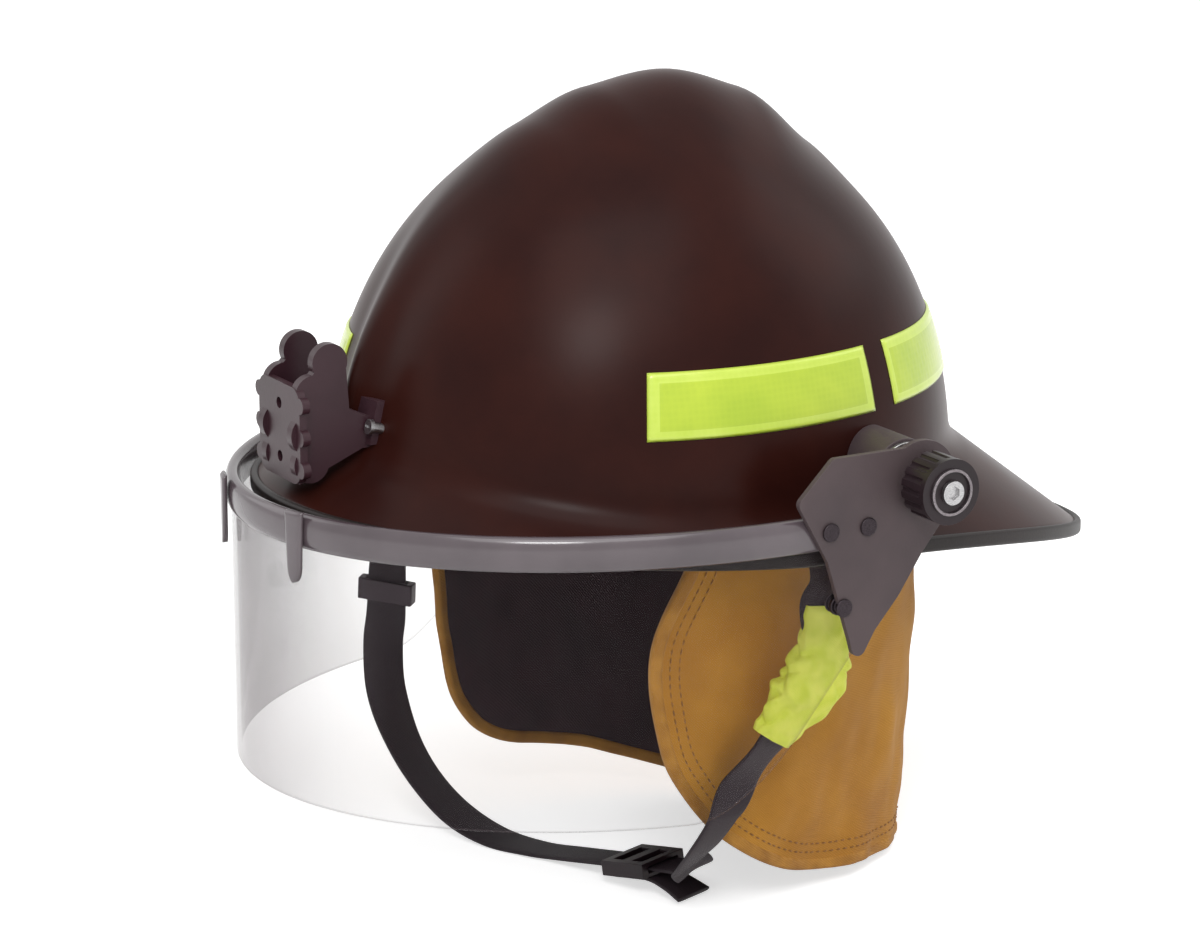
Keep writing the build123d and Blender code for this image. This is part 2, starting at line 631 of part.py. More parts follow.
def make_visor_rivets():
    rivets = []
    inner = -FRAME_THICKNESS - SEAT_GAP
    for place in rivet_places(FRAME_RIVETS):
        rivets += (place * rivet(inner)).solids()
    for place in rivet_places(LENS_RIVETS):
        spacer = Pos(0, 0, -LENS_INSET + SEAT_GAP) * extrude(Circle(3.6), LENS_INSET - 2 * SEAT_GAP)
        rivets += (place * (rivet(-LENS_INSET - LENS_THICKNESS - SEAT_GAP) + spacer)).solids()
    return Compound(rivets)


def rivet(inner):
    """Rivet along Z through the side plate and what lies behind it, down to inner."""
    top = PLATE_THICKNESS + SEAT_GAP
    shank = Pos(0, 0, inner) * extrude(Circle(RIVET_RADIUS), top - inner)
    head = Pos(0, 0, top) * extrude(Circle(RIVET_HEAD_RADIUS), 1.0)
    tail = Pos(0, 0, inner - 0.8) * extrude(Circle(RIVET_HEAD_RADIUS), 0.8)
    return shank + head + tail


def make_visor_clips():
    """Two small clips that hold the lens up into the frame."""
    clips = []
    for side in (1, -1):
        x = side * CLIP_SPACING / 2
        surface = SHIELD_FRONT * math.sqrt(1 - ((abs(x) + CLIP_WIDTH / 2) / SHIELD_HALF_WIDTH) ** 2)
        outer = Pos(x, -surface - 1.6, -11) * Box(CLIP_WIDTH, 4.8, 30)
        clip = outer - shield_wall(-SEAT_GAP, FRAME_THICKNESS + 2 * SEAT_GAP, FRAME_REACH_Y, -40, 80)
        clips += clip.solids().sort_by(Axis.Y)[:1]
    return Compound(clips)


def make_pivot_bracket(side):
    """Boss on the dome with the stud that the face shield turns on."""
    boss = along_x(BOSS_DIAMETER / 2, side * 70, side * BOSS_END_X)
    boss -= dome_slice(SEAT_GAP)
    stud = along_x(STUD_DIAMETER / 2, side * 92, side * STUD_END_X)
    nut = along_x(STUD_DIAMETER / 2 + 2.5, side * 88, side * 92)
    return boss + stud + nut


def ring_along_x(inner, outer, start, end):
    return along_x(outer, start, end) - along_x(inner, start, end)


def make_side_pieces(side):
    """What is stacked on one stud, from the boss outward."""
    hole = STUD_DIAMETER / 2 + RUN_GAP
    washer_start = BOSS_END_X + SEAT_GAP
    washer_end = washer_start + WASHER_THICKNESS
    knob_start = SHIELD_HALF_WIDTH + PLATE_THICKNESS + SPRING_LENGTH + 2 * SOFT_GAP
    knob_end = knob_start + SHIELD_KNOB_LENGTH
    spring_start = SHIELD_HALF_WIDTH + PLATE_THICKNESS + SOFT_GAP
    washer = ring_along_x(hole, 12, side * washer_start, side * washer_end)
    bush = ring_along_x(hole, 11, side * (washer_end + SOFT_GAP), side * SHIELD_HALF_WIDTH)
    spring = ring_along_x(hole + 0.6, 8.5, side * spring_start, side * (spring_start + SPRING_LENGTH))
    knob = along_x(SHIELD_KNOB_DIAMETER / 2, side * knob_start, side * knob_end)
    for i in range(SHIELD_KNOB_RIBS):
        turn = 2 * math.pi * i / SHIELD_KNOB_RIBS
        reach = SHIELD_KNOB_DIAMETER / 2 + 0.5
        knob -= along_x(1.3, side * (knob_start - 1), side * (knob_end - 2.5), PIVOT_Y + reach * math.cos(turn),
                        PIVOT_Z + reach * math.sin(turn))
    knob -= along_x(hole, side * (knob_start - 1), side * (STUD_END_X + SOFT_GAP))
    ring = ring_along_x(7.6, 9.8, side * (knob_end + SEAT_GAP), side * (knob_end + 1.2))
    screw = along_x(4.4, side * (knob_end + SEAT_GAP), side * (knob_end + 1.9))
    hexagon = Pos(side * (knob_end + 1.9), PIVOT_Y, PIVOT_Z) * Rot(0, 90, 0)
    screw -= hexagon * extrude(RegularPolygon(2.6, 6), 1.3, both=True)
    return {"friction_washer": washer, "pivot_bush": bush, "knob_spring": spring, "visor_knob": knob,
            "knob_ring": ring, "knob_screw": screw}


# ---------------------------------------------------------------- neck flap
def flap_section(z, inset):
    share = (FLAP_TOP_Z - z) / (FLAP_TOP_Z - FLAP_BOTTOM_Z)
    half_width = FLAP_HALF_WIDTH_TOP + (FLAP_HALF_WIDTH_BOTTOM - FLAP_HALF_WIDTH_TOP) * share - inset
    half_length = FLAP_HALF_LENGTH_TOP + (FLAP_HALF_LENGTH_BOTTOM - FLAP_HALF_LENGTH_TOP) * share - inset
    return Wire([Edge.make_ellipse(half_length, half_width, Plane((0, 0, z), x_dir=(0, 1, 0)))])


def flap_wall(inset, thickness):
    outer = Solid.make_loft([flap_section(z, inset) for z in (FLAP_TOP_Z, FLAP_BOTTOM_Z)], ruled=True)
    tall = (FLAP_TOP_Z + 0.001, FLAP_BOTTOM_Z - 0.001)
    inner = Solid.make_loft([flap_section(z, inset + thickness) for z in tall], ruled=True)
    return outer - inner


def flap_side(front, inset, side):
    """Side view of one half of the flap: front edge points from the top, then the hem's shared end."""
    low_corner = front[-3][1]
    points = []
    for y, z in front:
        drop = min(1.0, max(0.0, (z - FLAP_HEM_Z) / (low_corner - FLAP_HEM_Z)))
        points.append((y + inset * drop, z + inset * (1 - drop)))
    hem_start = (FLAP_HEM_Y, FLAP_HEM_Z + inset)
    hem_end = (130, FLAP_HEM_Z - 4 + inset)
    curve = Spline(*points, hem_start, tangents=[(-0.1, -1), (hem_end[0] - hem_start[0], -4)])
    outline = curve + Polyline(hem_start, hem_end, (130, 10), points[0])
    return extrude(Plane.YZ * make_face(outline), 150 * side)


def flap_outline(inset):
    """Space of the flap seen from the side, its free edge moved in by inset."""
    return flap_side(FLAP_LEFT_EDGE, inset, 1) + flap_side(FLAP_RIGHT_EDGE, inset, -1)


def make_neck_flap():
    return flap_wall(0, FLAP_CLOTH) & flap_outline(BINDING_WIDTH)


def make_flap_lining():
    return flap_wall(FLAP_CLOTH + SOFT_GAP, LINING_CLOTH) & flap_outline(BINDING_WIDTH)


def make_flap_binding():
    whole = flap_wall(0, FLAP_CLOTH + SOFT_GAP + LINING_CLOTH) & flap_outline(0)
    return whole - flap_outline(BINDING_WIDTH - SEAT_GAP)


def make_flap_hook_band():
    """Hook-and-loop band between the flap's top and the inside of the shell."""
    outer_x = DOME_HALF_WIDTH - SHELL_WALL - LINER_GAP
    outer_y = DOME_HALF_LENGTH - SHELL_WALL - LINER_GAP
    band = Ellipse(outer_x, outer_y) - Ellipse(FLAP_HALF_WIDTH_TOP + SOFT_GAP, FLAP_HALF_LENGTH_TOP + SOFT_GAP)
    band &= Pos(0, 200 - 26) * Rectangle(400, 400)
    band -= Pos(LEFT_ANCHOR[0], LEFT_ANCHOR[1]) * Rectangle(20, HANGER_PLATE_WIDTH + 4)
    return Pos(0, 0, FLAP_TOP_Z - HOOK_BAND_HEIGHT) * extrude(band, HOOK_BAND_HEIGHT)


# ---------------------------------------------------------------- chin strap
def unit(vector):
    length = math.sqrt(sum(v * v for v in vector))
    return tuple(v / length for v in vector)


def ribbon(stations, extra_width, thickness, first=0, last=100):
    """Flat webbing through stations: each a point, the direction of its width, and its width."""
    wires = []
    for i, (point, across, width) in enumerate(stations):
        if not first <= i <= last:
            continue
        before = stations[max(i - 1, 0)][0]
        after = stations[min(i + 1, len(stations) - 1)][0]
        along = (Vector(*after) - Vector(*before)).normalized()
        wide = Vector(*across)
        wide = (wide - along * wide.dot(along)).normalized()
        plane = Plane(origin=point, x_dir=wide, z_dir=along)
        wires.append((plane * Rectangle(width + extra_width, thickness)).wire())
    return Solid.make_loft(wires, ruled=True)


SWING_AXIS = unit(tuple(a - b for a, b in zip(LEFT_ANCHOR, RIGHT_ANCHOR)))


def chin_stations():
    """The strap's route from the left anchor, round under the chin, to the right anchor."""
    (lx, ly, lz) = LEFT_ANCHOR
    (rx, ry, rz) = RIGHT_ANCHOR
    narrow = LOOP_LENGTH
    full = CHIN_WEB_WIDTH
    return [((lx, ly, lz - 2.2), SWING_AXIS, narrow), ((lx + 0.3, ly, lz - 9), SWING_AXIS, narrow),
            ((101, 18, -42), (0.6, 1, 0.1), full), ((101.5, 18, -58), (0, 1, 0.25), full),
            ((100, 12, -76), (0, 1, 0.5), full), ((96, 1, -93), (0.1, 1, 0.6), full),
            ((90, -9, -109), (0.1, 1, 0.5), full), ((87, -15, -124), (0, 1, 0.4), full),
            ((78, -18, -138), (0, 1, 0.3), full), ((61, -14, -151), (-0.3, 1, 0.2), full),
            (STRAP_RUN_END, (-0.4, 0.9, 0), full), (STRAP_RUN_START, (-0.4, 0.9, 0), full),
            ((-32, -29, -172), (-0.4, 0.9, 0), full), ((-50, -38, -171), (-0.4, 0.9, 0.1), full),
            ((-66, -47, -164), (-0.4, 0.9, 0.2), full), ((-78, -55, -151), (-0.3, 0.95, 0.1), full),
            ((-86, -61, -135), (-0.1, 1, 0), full), ((-91, -65, -116), (0.3, 1, 0), full),
            ((-91, -66, -97), (0.5, 1, 0), full), ((rx - 4, ry - 1, rz - 58), (0.7, 0.75, 0), full),
            ((rx - 2, ry - 1, rz - 38), (0.85, 0.6, 0), full), ((rx - 0.5, ry, rz - 18), SWING_AXIS, 14),
            ((rx, ry, rz - 2.2), SWING_AXIS, narrow)]


def anchor_place(anchor):
    """Place at an anchor with Z along the line through both anchors."""
    return Plane(origin=anchor, x_dir=(0, 0, 1), z_dir=SWING_AXIS)


def make_chin_strap():
    strap = Part() + ribbon(chin_stations(), 0, CHIN_WEB_THICKNESS)
    for anchor in (LEFT_ANCHOR, RIGHT_ANCHOR):
        loop = anchor_place(anchor) * Cylinder(PIN_RADIUS + RUN_GAP + LOOP_WALL, LOOP_LENGTH)
        strap = strap + loop - anchor_place(anchor) * Cylinder(PIN_RADIUS + RUN_GAP, LOOP_LENGTH * 2)
    return strap


def strap_run_place(share):
    """Place on the strap's straight run: X across the webbing, Z along the run."""
    start = Vector(*STRAP_RUN_START)
    end = Vector(*STRAP_RUN_END)
    along = (end - start).normalized()
    wide = Vector(-0.4, 0.9, 0)
    wide = (wide - along * wide.dot(along)).normalized()
    return Plane(origin=start + (end - start) * share, x_dir=wide, z_dir=along)


def make_strap_buckle():
    block = Box(BUCKLE_WIDTH, BUCKLE_HEIGHT, BUCKLE_LENGTH)
    slot = Box(CHIN_WEB_WIDTH + 4 * SOFT_GAP, CHIN_WEB_THICKNESS + 2 * SOFT_GAP, BUCKLE_LENGTH + 2)
    window = Pos(0, 3, 5) * Box(CHIN_WEB_WIDTH, 6, 5) + Pos(0, 3, -5) * Box(CHIN_WEB_WIDTH, 6, 5)
    return strap_run_place(BUCKLE_SHARE) * (block - slot - window)


def make_strap_tail():
    """Loose end of the webbing, under the buckle."""
    half = BUCKLE_HEIGHT / 2 + CHIN_WEB_THICKNESS / 2 + SEAT_GAP
    across = (1, 0, 0)
    points = [((0, -half, -8), across, CHIN_WEB_WIDTH), ((0, -half, 8), across, CHIN_WEB_WIDTH),
              ((0, -half - 3, 17), across, CHIN_WEB_WIDTH), ((0, -half - 7, 25), across, CHIN_WEB_WIDTH + 2)]
    return strap_run_place(BUCKLE_SHARE) * ribbon(points, 0, CHIN_WEB_THICKNESS)


def make_strap_sleeve():
    """Gathered cloth sleeve round the left leg of the strap."""
    stations = chin_stations()
    sleeve = ribbon(stations, 8, CHIN_WEB_THICKNESS + 7, *SLEEVE_STATIONS)
    return sleeve - ribbon(stations, 2 * SOFT_GAP, CHIN_WEB_THICKNESS + 2 * SOFT_GAP, *SLEEVE_STATIONS)


def make_strap_slider():
    """Flat ring on the right leg of the strap."""
    lower, upper = chin_stations()[-4:-2]
    middle = tuple((a + b) / 2 for a, b in zip(upper[0], lower[0]))
    along = (Vector(*upper[0]) - Vector(*lower[0])).normalized()
    wide = Vector(*upper[1]) + Vector(*lower[1])
    wide = (wide - along * wide.dot(along)).normalized()
    place = Plane(origin=middle, x_dir=wide, z_dir=along)
    block = Box(CHIN_WEB_WIDTH + 7, 5.5, 9)
    slot = Box(CHIN_WEB_WIDTH + 4 * SOFT_GAP, CHIN_WEB_THICKNESS + 4 * SOFT_GAP, 14)
    return place * (block - slot)


def make_strap_hanger(anchor):
    """Plate on the inside of the shell with a fork whose pin carries the strap's end loop."""
    (x, y, z) = anchor
    heading = math.atan2(y, x)
    reach = dome_reach(heading, HANGER_PLATE_TOP_Z, -SHELL_WALL - SOFT_GAP - HANGER_PLATE / 2, False)
    wall = Vector(reach * math.cos(heading), reach * math.sin(heading), z)
    normal = (wall.X / DOME_HALF_WIDTH ** 2, wall.Y / DOME_HALF_LENGTH ** 2, 0)
    foot = Plane(origin=wall, x_dir=normal, z_dir=(0, 0, 1))
    fork_top = PIN_RADIUS + RUN_GAP + LOOP_WALL + 2
    plate_top = -z + HANGER_PLATE_TOP_Z
    hanger = foot * Pos(0, 0, (fork_top + plate_top) / 2) * Box(HANGER_PLATE, HANGER_PLATE_WIDTH,
                                                                plate_top - fork_top)
    fork = Plane(origin=anchor, x_dir=SWING_AXIS, z_dir=(0, 0, 1))
    half = LOOP_LENGTH / 2 + SOFT_GAP + HANGER_PLATE / 2
    hanger += fork * Pos(0, 0, fork_top + 1) * Box(2 * half + HANGER_PLATE, 6, 2.4)
    for side in (1, -1):
        hanger += fork * Pos(side * half, 0, fork_top / 2 - 1) * Box(HANGER_PLATE, 6, fork_top + 4)
    return hanger + anchor_place(anchor) * Cylinder(PIN_RADIUS, 2 * half)


def build():
    """All sub-parts by name."""
    parts = {
        "shell": make_shell(),
        "brim_edge_trim": make_edge_trim(),
        "impact_liner": make_impact_liner(),
        "crown_straps": make_crown_straps(),
        "crown_pad": make_crown_pad(),
        "headband": make_headband(),
        "brow_pad": make_brow_pad(),
        "nape_pad": make_nape_pad(),
        "suspension_hangers": make_suspension_hangers(),
        "ratchet_housing": make_ratchet_housing(),
        "ratchet_cover": make_ratchet_cover(),
        "ratchet_knob": make_ratchet_knob(),
        "ratchet_pinion": make_ratchet_pinion(),
        "left_rack": make_left_rack(),
        "right_rack": make_right_rack(),
        "rack_keepers": make_rack_keepers(),
        "badge_holder": make_badge_holder(),
        "holder_screws": make_holder_screws(),
        "visor_frame": make_visor_frame(),
        "visor_lens": make_visor_lens(),
        "visor_clips": make_visor_clips(),
        "visor_rivets": make_visor_rivets(),
        "neck_flap": make_neck_flap(),
        "flap_lining": make_flap_lining(),
        "flap_binding": make_flap_binding(),
        "flap_hook_band": make_flap_hook_band(),
        "chin_strap": make_chin_strap(),
        "strap_buckle": make_strap_buckle(),
        "strap_tail": make_strap_tail(),
        "strap_sleeve": make_strap_sleeve(),
        "strap_slider": make_strap_slider(),
        "strap_hanger_left": make_strap_hanger(LEFT_ANCHOR),
        "strap_hanger_right": make_strap_hanger(RIGHT_ANCHOR),
    }
    parts.update(make_strips())
    for name, side in (("left", 1), ("right", -1)):
        parts["visor_plate_" + name] = make_visor_plate(side)
        parts["pivot_bracket_" + name] = make_pivot_bracket(side)
        for piece, solid in make_side_pieces(side).items():
            parts[piece + "_" + name] = solid
    return parts


if __name__ == "__main__":
    os.makedirs("parts", exist_ok=True)
    for node, solid in build().items():
        export_step(solid, "parts/" + node + ".step")
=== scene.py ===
import json
import math

import bmesh
import bpy
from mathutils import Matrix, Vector, noise

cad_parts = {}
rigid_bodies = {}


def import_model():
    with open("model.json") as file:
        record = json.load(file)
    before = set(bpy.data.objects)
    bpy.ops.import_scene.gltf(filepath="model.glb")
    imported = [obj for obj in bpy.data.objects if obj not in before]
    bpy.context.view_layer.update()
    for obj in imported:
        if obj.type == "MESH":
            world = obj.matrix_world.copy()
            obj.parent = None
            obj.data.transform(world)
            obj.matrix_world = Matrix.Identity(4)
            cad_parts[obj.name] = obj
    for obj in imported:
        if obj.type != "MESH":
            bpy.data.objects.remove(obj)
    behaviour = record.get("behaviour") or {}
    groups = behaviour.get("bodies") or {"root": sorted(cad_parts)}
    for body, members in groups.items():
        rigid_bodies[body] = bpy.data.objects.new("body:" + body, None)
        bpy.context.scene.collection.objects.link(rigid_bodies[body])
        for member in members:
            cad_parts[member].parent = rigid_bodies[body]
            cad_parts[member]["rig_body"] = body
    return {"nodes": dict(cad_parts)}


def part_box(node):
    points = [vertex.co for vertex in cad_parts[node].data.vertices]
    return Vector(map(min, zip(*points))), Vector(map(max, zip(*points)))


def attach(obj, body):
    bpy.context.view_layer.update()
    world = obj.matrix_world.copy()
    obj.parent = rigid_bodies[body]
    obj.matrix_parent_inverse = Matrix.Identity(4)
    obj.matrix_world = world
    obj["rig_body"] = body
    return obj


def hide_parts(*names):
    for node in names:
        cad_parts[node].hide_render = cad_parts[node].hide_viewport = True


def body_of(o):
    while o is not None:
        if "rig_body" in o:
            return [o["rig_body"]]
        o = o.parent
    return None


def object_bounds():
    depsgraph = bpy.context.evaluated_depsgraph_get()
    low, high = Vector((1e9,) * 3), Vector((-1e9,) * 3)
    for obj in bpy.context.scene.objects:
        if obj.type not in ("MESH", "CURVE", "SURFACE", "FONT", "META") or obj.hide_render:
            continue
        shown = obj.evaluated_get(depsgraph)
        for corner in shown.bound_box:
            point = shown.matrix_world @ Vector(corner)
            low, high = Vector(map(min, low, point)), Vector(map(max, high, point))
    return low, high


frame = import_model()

bl_info = {
    "name": "Fire helmet finish",
    "version": (1, 0, 0),
    "blender": (4, 5, 0),
    "location": "3D View > Sidebar > Helmet",
    "description": "Builds the finished surfaces of a fire helmet round its packed frame",
    "category": "Object",
}

CAD_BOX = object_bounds()
MM = 0.001

# ---- the dome and brim, in millimetres, as the frame has them ----
DOME_HALF_LENGTH = 125.0
DOME_HALF_WIDTH = 104.0
DOME_HEIGHT = 140.0
DOME_BASE_Z = -10.0
DOME_FULLNESS = 2.1
SHELL_WALL = 3.0
WALL_BOTTOM_Z = -12.0
CREST_HEIGHT = 13.2
CREST_WIDTH_FRONT = 8.0
CREST_WIDTH_CROWN = 36.0
# the crest's share of its height, by degrees up from the front and over to the back
CREST_PROFILE = [(0, 0.30), (22, 0.42), (40, 0.26), (58, 0.22), (72, 0.40), (83, 0.74),
                 (95, 1.00), (106, 0.80), (119, 0.24), (134, 0.02), (180, 0.0)]
BRIM_HALF_WIDTH = 118.0
BRIM_FRONT = 153.0
BRIM_REAR = 190.0
BRIM_THICKNESS = 3.5
BRIM_EDGE_SIDE_Z = -16.0
BRIM_FRONT_RISE = 0.09
BRIM_REAR_FALL = 0.02
BRIM_REAR_CURVE = 0.00084
BRIM_ROOT_SIDE_Z = -6.0
BRIM_ROOT_FRONT_Z = 14.0
BRIM_ROOT_REAR_Z = 0.0
BRIM_FILLET = 9.0
SHELL_CORNER = 0.8
SHELL_COLUMNS = 264
DOME_STEPS = 70
FILLET_STEPS = 7
INSIDE_STEPS = 36

# ---- the reflective strips ----
STRIP_LOW_Z = 26.5
STRIP_MIDDLE_Z = 38.5
STRIP_HIGH_Z = 50.5
STRIP_COLUMNS = 64
STRIP_ROWS = 20
STRIP_GROOVE = (2.2, 3.6, 0.25)
SIDE_STRIP_Y = (-50, 44)
REAR_STRIP_START = math.atan2(57, 90)
REAR_STRIP_SPAN = 94 / 108
FRONT_STRIP = (math.radians(223), math.radians(259))

# ---- the face shield and its pivots ----
SHIELD_FRONT = 165.0
SHIELD_HALF_WIDTH = 128.0
FRAME_THICKNESS = 6.0
FRAME_HEIGHT = 13.0
FRAME_REACH_Y = 24.0
FRAME_SQUARENESS = 2.6
LENS_INSET = 2.0
LENS_THICKNESS = 2.0
LENS_TOP_Z = -8.0
LENS_REAR_Y = 18.0
LENS_ROWS = 16
LENS_EDGE = [(18, -50), (-16, -92), (-40, -110), (-70, -110)]
CLIP_TOP_Z = 1.5
CLIP_DROP = 26.5
CLIP_STEPS = 30
PIVOT_Y = 41.0
PIVOT_Z = 9.0
RING_DEPTH = 0.75
SPRING_TURNS = 2.75
SPRING_RADIUS = 6.6

# ---- the head suspension ----
HEAD_CENTRE_Y = -6.0
HEAD_RADIUS = 78.0
ARC_CENTRE_Y = 15.0
FRONT_ARC_Y = -27.0
BAND_CENTRE_Z = -4.0
PAD_HALF_HEIGHT = 16.6
STRAP_END_Z = 12.8
STRAP_HALF_ACROSS = 79.9
STRAP_HALF_ALONG = 100.9
CROWN_TOP_Z = 98.0
CROWN_STRAP_STEP = 1.9
CROWN_PAD_CURVE = 60.0
CROWN_PAD_RADIUS = 30.0
CROWN_PAD_DROP = 2.9

# ---- the neck flap: its cone, and each half's free edge as points in the side view ----
FLAP_TOP_Z = 1.5
FLAP_LOW_Z = -178.0
FLAP_TOP_HALF = (96.5, 118.0)
FLAP_LOW_HALF = (68.0, 111.0)
FLAP_OUT = (96.0, 118.0)
FLAP_LEFT_EDGE = [(-29, 1.5), (-31, -20), (-43, -56), (-38, -92), (-28, -114), (-6, -139),
                  (30, -160), (75, -168), (111, -170.6)]
FLAP_RIGHT_EDGE = [(-46, 1.5), (-47, -20), (-51, -56), (-50, -92), (-45, -118), (-26, -138),
                   (18, -149), (75, -168), (111, -170.6)]
FLAP_ROWS = 96
FLAP_COLUMNS = 116

# ---- the chin strap's route: point, direction of its width, width ----
LEFT_ANCHOR = Vector((102.0, 17.0, -25.0))
RIGHT_ANCHOR = Vector((-84.0, -65.0, -25.0))
SWING_AXIS = tuple((LEFT_ANCHOR - RIGHT_ANCHOR).normalized())
RUN_START = (-14, -21, -170)
RUN_END = (42, -4, -160)
RUN_ACROSS = (-0.4, 0.9, 0)
STRAP_ROUTE = [
    ((102, 17, -27.2), SWING_AXIS, 10), ((102.3, 17, -34), SWING_AXIS, 10),
    ((101, 18, -42), (0.6, 1, 0.1), 16), ((101.5, 18, -58), (0, 1, 0.25), 16),
    ((100, 12, -76), (0, 1, 0.5), 16), ((96, 1, -93), (0.1, 1, 0.6), 16),
    ((90, -9, -109), (0.1, 1, 0.5), 16), ((87, -15, -124), (0, 1, 0.4), 16),
    ((78, -18, -138), (0, 1, 0.3), 16), ((61, -14, -151), (-0.3, 1, 0.2), 16),
    (RUN_END, RUN_ACROSS, 16), (RUN_START, RUN_ACROSS, 16),
    ((-32, -29, -172), RUN_ACROSS, 16), ((-50, -38, -171), (-0.4, 0.9, 0.1), 16),
    ((-66, -47, -164), (-0.4, 0.9, 0.2), 16), ((-78, -55, -151), (-0.3, 0.95, 0.1), 16),
    ((-86, -61, -135), (-0.1, 1, 0), 16), ((-91, -65, -116), (0.3, 1, 0), 16),
    ((-91, -66, -97), (0.5, 1, 0), 16), ((-88, -66, -83), (0.7, 0.75, 0), 16),
    ((-86, -66, -63), (0.85, 0.6, 0), 16), ((-84.5, -65, -43), SWING_AXIS, 14),
    ((-84, -65, -27.2), SWING_AXIS, 10)]
STRAP_THICKNESS = 1.8
LOOP_RADIUS = 2.3
SLEEVE_STOPS = slice(2, 6)
# the sleeve's fullness from its top end to its lower end
SLEEVE_SWELL = [(0, 0.42), (0.12, 0.55), (0.32, 0.80), (0.45, 1.02), (0.68, 1.16), (0.82, 1.02),
                (0.93, 0.86), (1, 0.78)]
BUCKLE_SHARE = 0.62
# the tail past the buckle: along the run, off it, and its width
TAIL_STOPS = [(-8, -4.0, 16), (8, -4.0, 16), (17, -7.0, 16), (25, -11.0, 18)]
TAIL_SLACK = 30

# ---- the stage, in metres ----
FLOOR_GAP = 0.0006
FLOOR_HALF = 9.0
FLOOR_GLOW = 0.58
FRAMING = (0.01538, 0.01038)
# each lamp: place, share of the key's power, size
LAMPS = {"key_lamp": ((1.0, -0.5, 1.6), 1.0, 1.6), "front_lamp": ((-1.3, -1.2, 1.0), 0.35, 1.4),
         "rim_lamp": ((0.5, 1.6, 1.2), 0.4, 1.2), "bar_lamp": ((1.25, -0.79, 1.03), 0.5, 0.45)}


# ---------------------------------------------------------------- settings
def linear(code):
    """sRGB hex to a linear colour."""
    values = [int(code[i:i + 2], 16) / 255 for i in (1, 3, 5)]
    return tuple(v / 12.92 if v <= 0.04045 else ((v + 0.055) / 1.055) ** 2.4
                 for v in values) + (1.0,)


def colour_setting(name, description, code):
    return bpy.props.FloatVectorProperty(name=name, description=description, size=4,
                                         default=linear(code), min=0.0, max=1.0, subtype="COLOR")


def size_setting(name, description, millimetres):
    return bpy.props.FloatProperty(name=name, description=description, min=0.0,
                                   default=millimetres * MM, subtype="DISTANCE", unit="LENGTH")


class HelmetColours(bpy.types.PropertyGroup):
    """Each finish has a darker and a lighter tone, which its pattern mixes"""
    shell_dark: colour_setting("Shell, darker", "Darker tone of the shell", "#2a100d")
    shell_light: colour_setting("Shell, lighter", "Lighter tone of the shell", "#331510")
    tape_dark: colour_setting("Tape, darker", "Darker tone of the reflective tape", "#aecb26")
    tape_light: colour_setting("Tape, lighter", "Lighter tone of the reflective tape", "#c8de36")
    bar_dark: colour_setting("Shield bar, darker", "Darker tone of the shield's bar", "#4d4247")
    bar_light: colour_setting("Shield bar, lighter", "Lighter tone of the shield's bar", "#5d5257")
    plate_dark: colour_setting("Side plate, darker", "Darker tone of the side plates", "#3f3336")
    plate_light: colour_setting("Side plate, lighter", "Lighter tone of the side plates", "#4f4244")
    flap_dark: colour_setting("Flap, darker", "Darker tone of the outer cloth", "#ad731a")
    flap_light: colour_setting("Flap, lighter", "Lighter tone of the outer cloth", "#d39630")
    lining_dark: colour_setting("Lining, darker", "Darker tone of the flap's lining", "#2b1c20")
    lining_light: colour_setting("Lining, lighter", "Lighter tone of the flap's lining", "#40292f")
    strap_dark: colour_setting("Chin strap, darker", "Darker tone of the webbing", "#170d12")
    strap_light: colour_setting("Chin strap, lighter", "Lighter tone of the webbing", "#2e2129")
    sleeve_dark: colour_setting("Sleeve, darker", "Darker tone of the strap's sleeve", "#d2e030")
    sleeve_light: colour_setting("Sleeve, lighter", "Lighter tone of the strap's sleeve", "#f8fb70")


class HelmetSizes(bpy.types.PropertyGroup):
    """Sizes that don't move a piece out of the space its CAD node holds"""
    bead_width: size_setting("Edge bead width", "Width of the brim's rubber edging", 3.2)
    bead_height: size_setting("Edge bead height", "Height of the brim's rubber edging", 6.0)
    strip_lift: size_setting("Tape lift", "How far a strip stands off the shell", 0.95)
    strip_border: size_setting("Tape border", "Width of a strip's paler border", 3.0)
    clip_spacing: size_setting("Clip spacing", "Distance between the two clips", 60.0)
    ring_radius: size_setting("Knob ring radius", "Radius of the plated ring", 8.1)
    ring_width: size_setting("Knob ring width", "Width of the plated ring's band", 1.1)
    spring_wire: size_setting("Spring wire", "Diameter of the springs' wire", 1.24)
    pad_depth: size_setting("Pad depth", "Fullness of the brow and nape pads", 3.1)
    crown_pad_depth: size_setting("Crown pad depth", "Half depth of the crown pad", 2.4)
    crown_strap_width: size_setting("Crown strap width", "Width of the crown webbing", 19.0)
    fold_sweep: size_setting("Flap sweep", "Depth of the flap's broad waves at its hem", 1.5)
    fold_depth: size_setting("Flap folds", "Depth of the flap's uneven folds at its hem", 2.6)
    binding_width: size_setting("Flap tape width", "Width of the folded tape on the edge", 5.2)
    stitch_spacing: size_setting("Stitch spacing", "Distance from stitch to stitch", 3.6)
    stitch_length: size_setting("Stitch length", "Length of one stitch", 2.5)
    thread_width: size_setting("Thread width", "Diameter of the sewing thread", 0.64)
    sleeve_width: size_setting("Sleeve width", "Full width of the strap's sleeve", 24.4)
    sleeve_depth: size_setting("Sleeve depth", "Full depth of the strap's sleeve", 10.4)


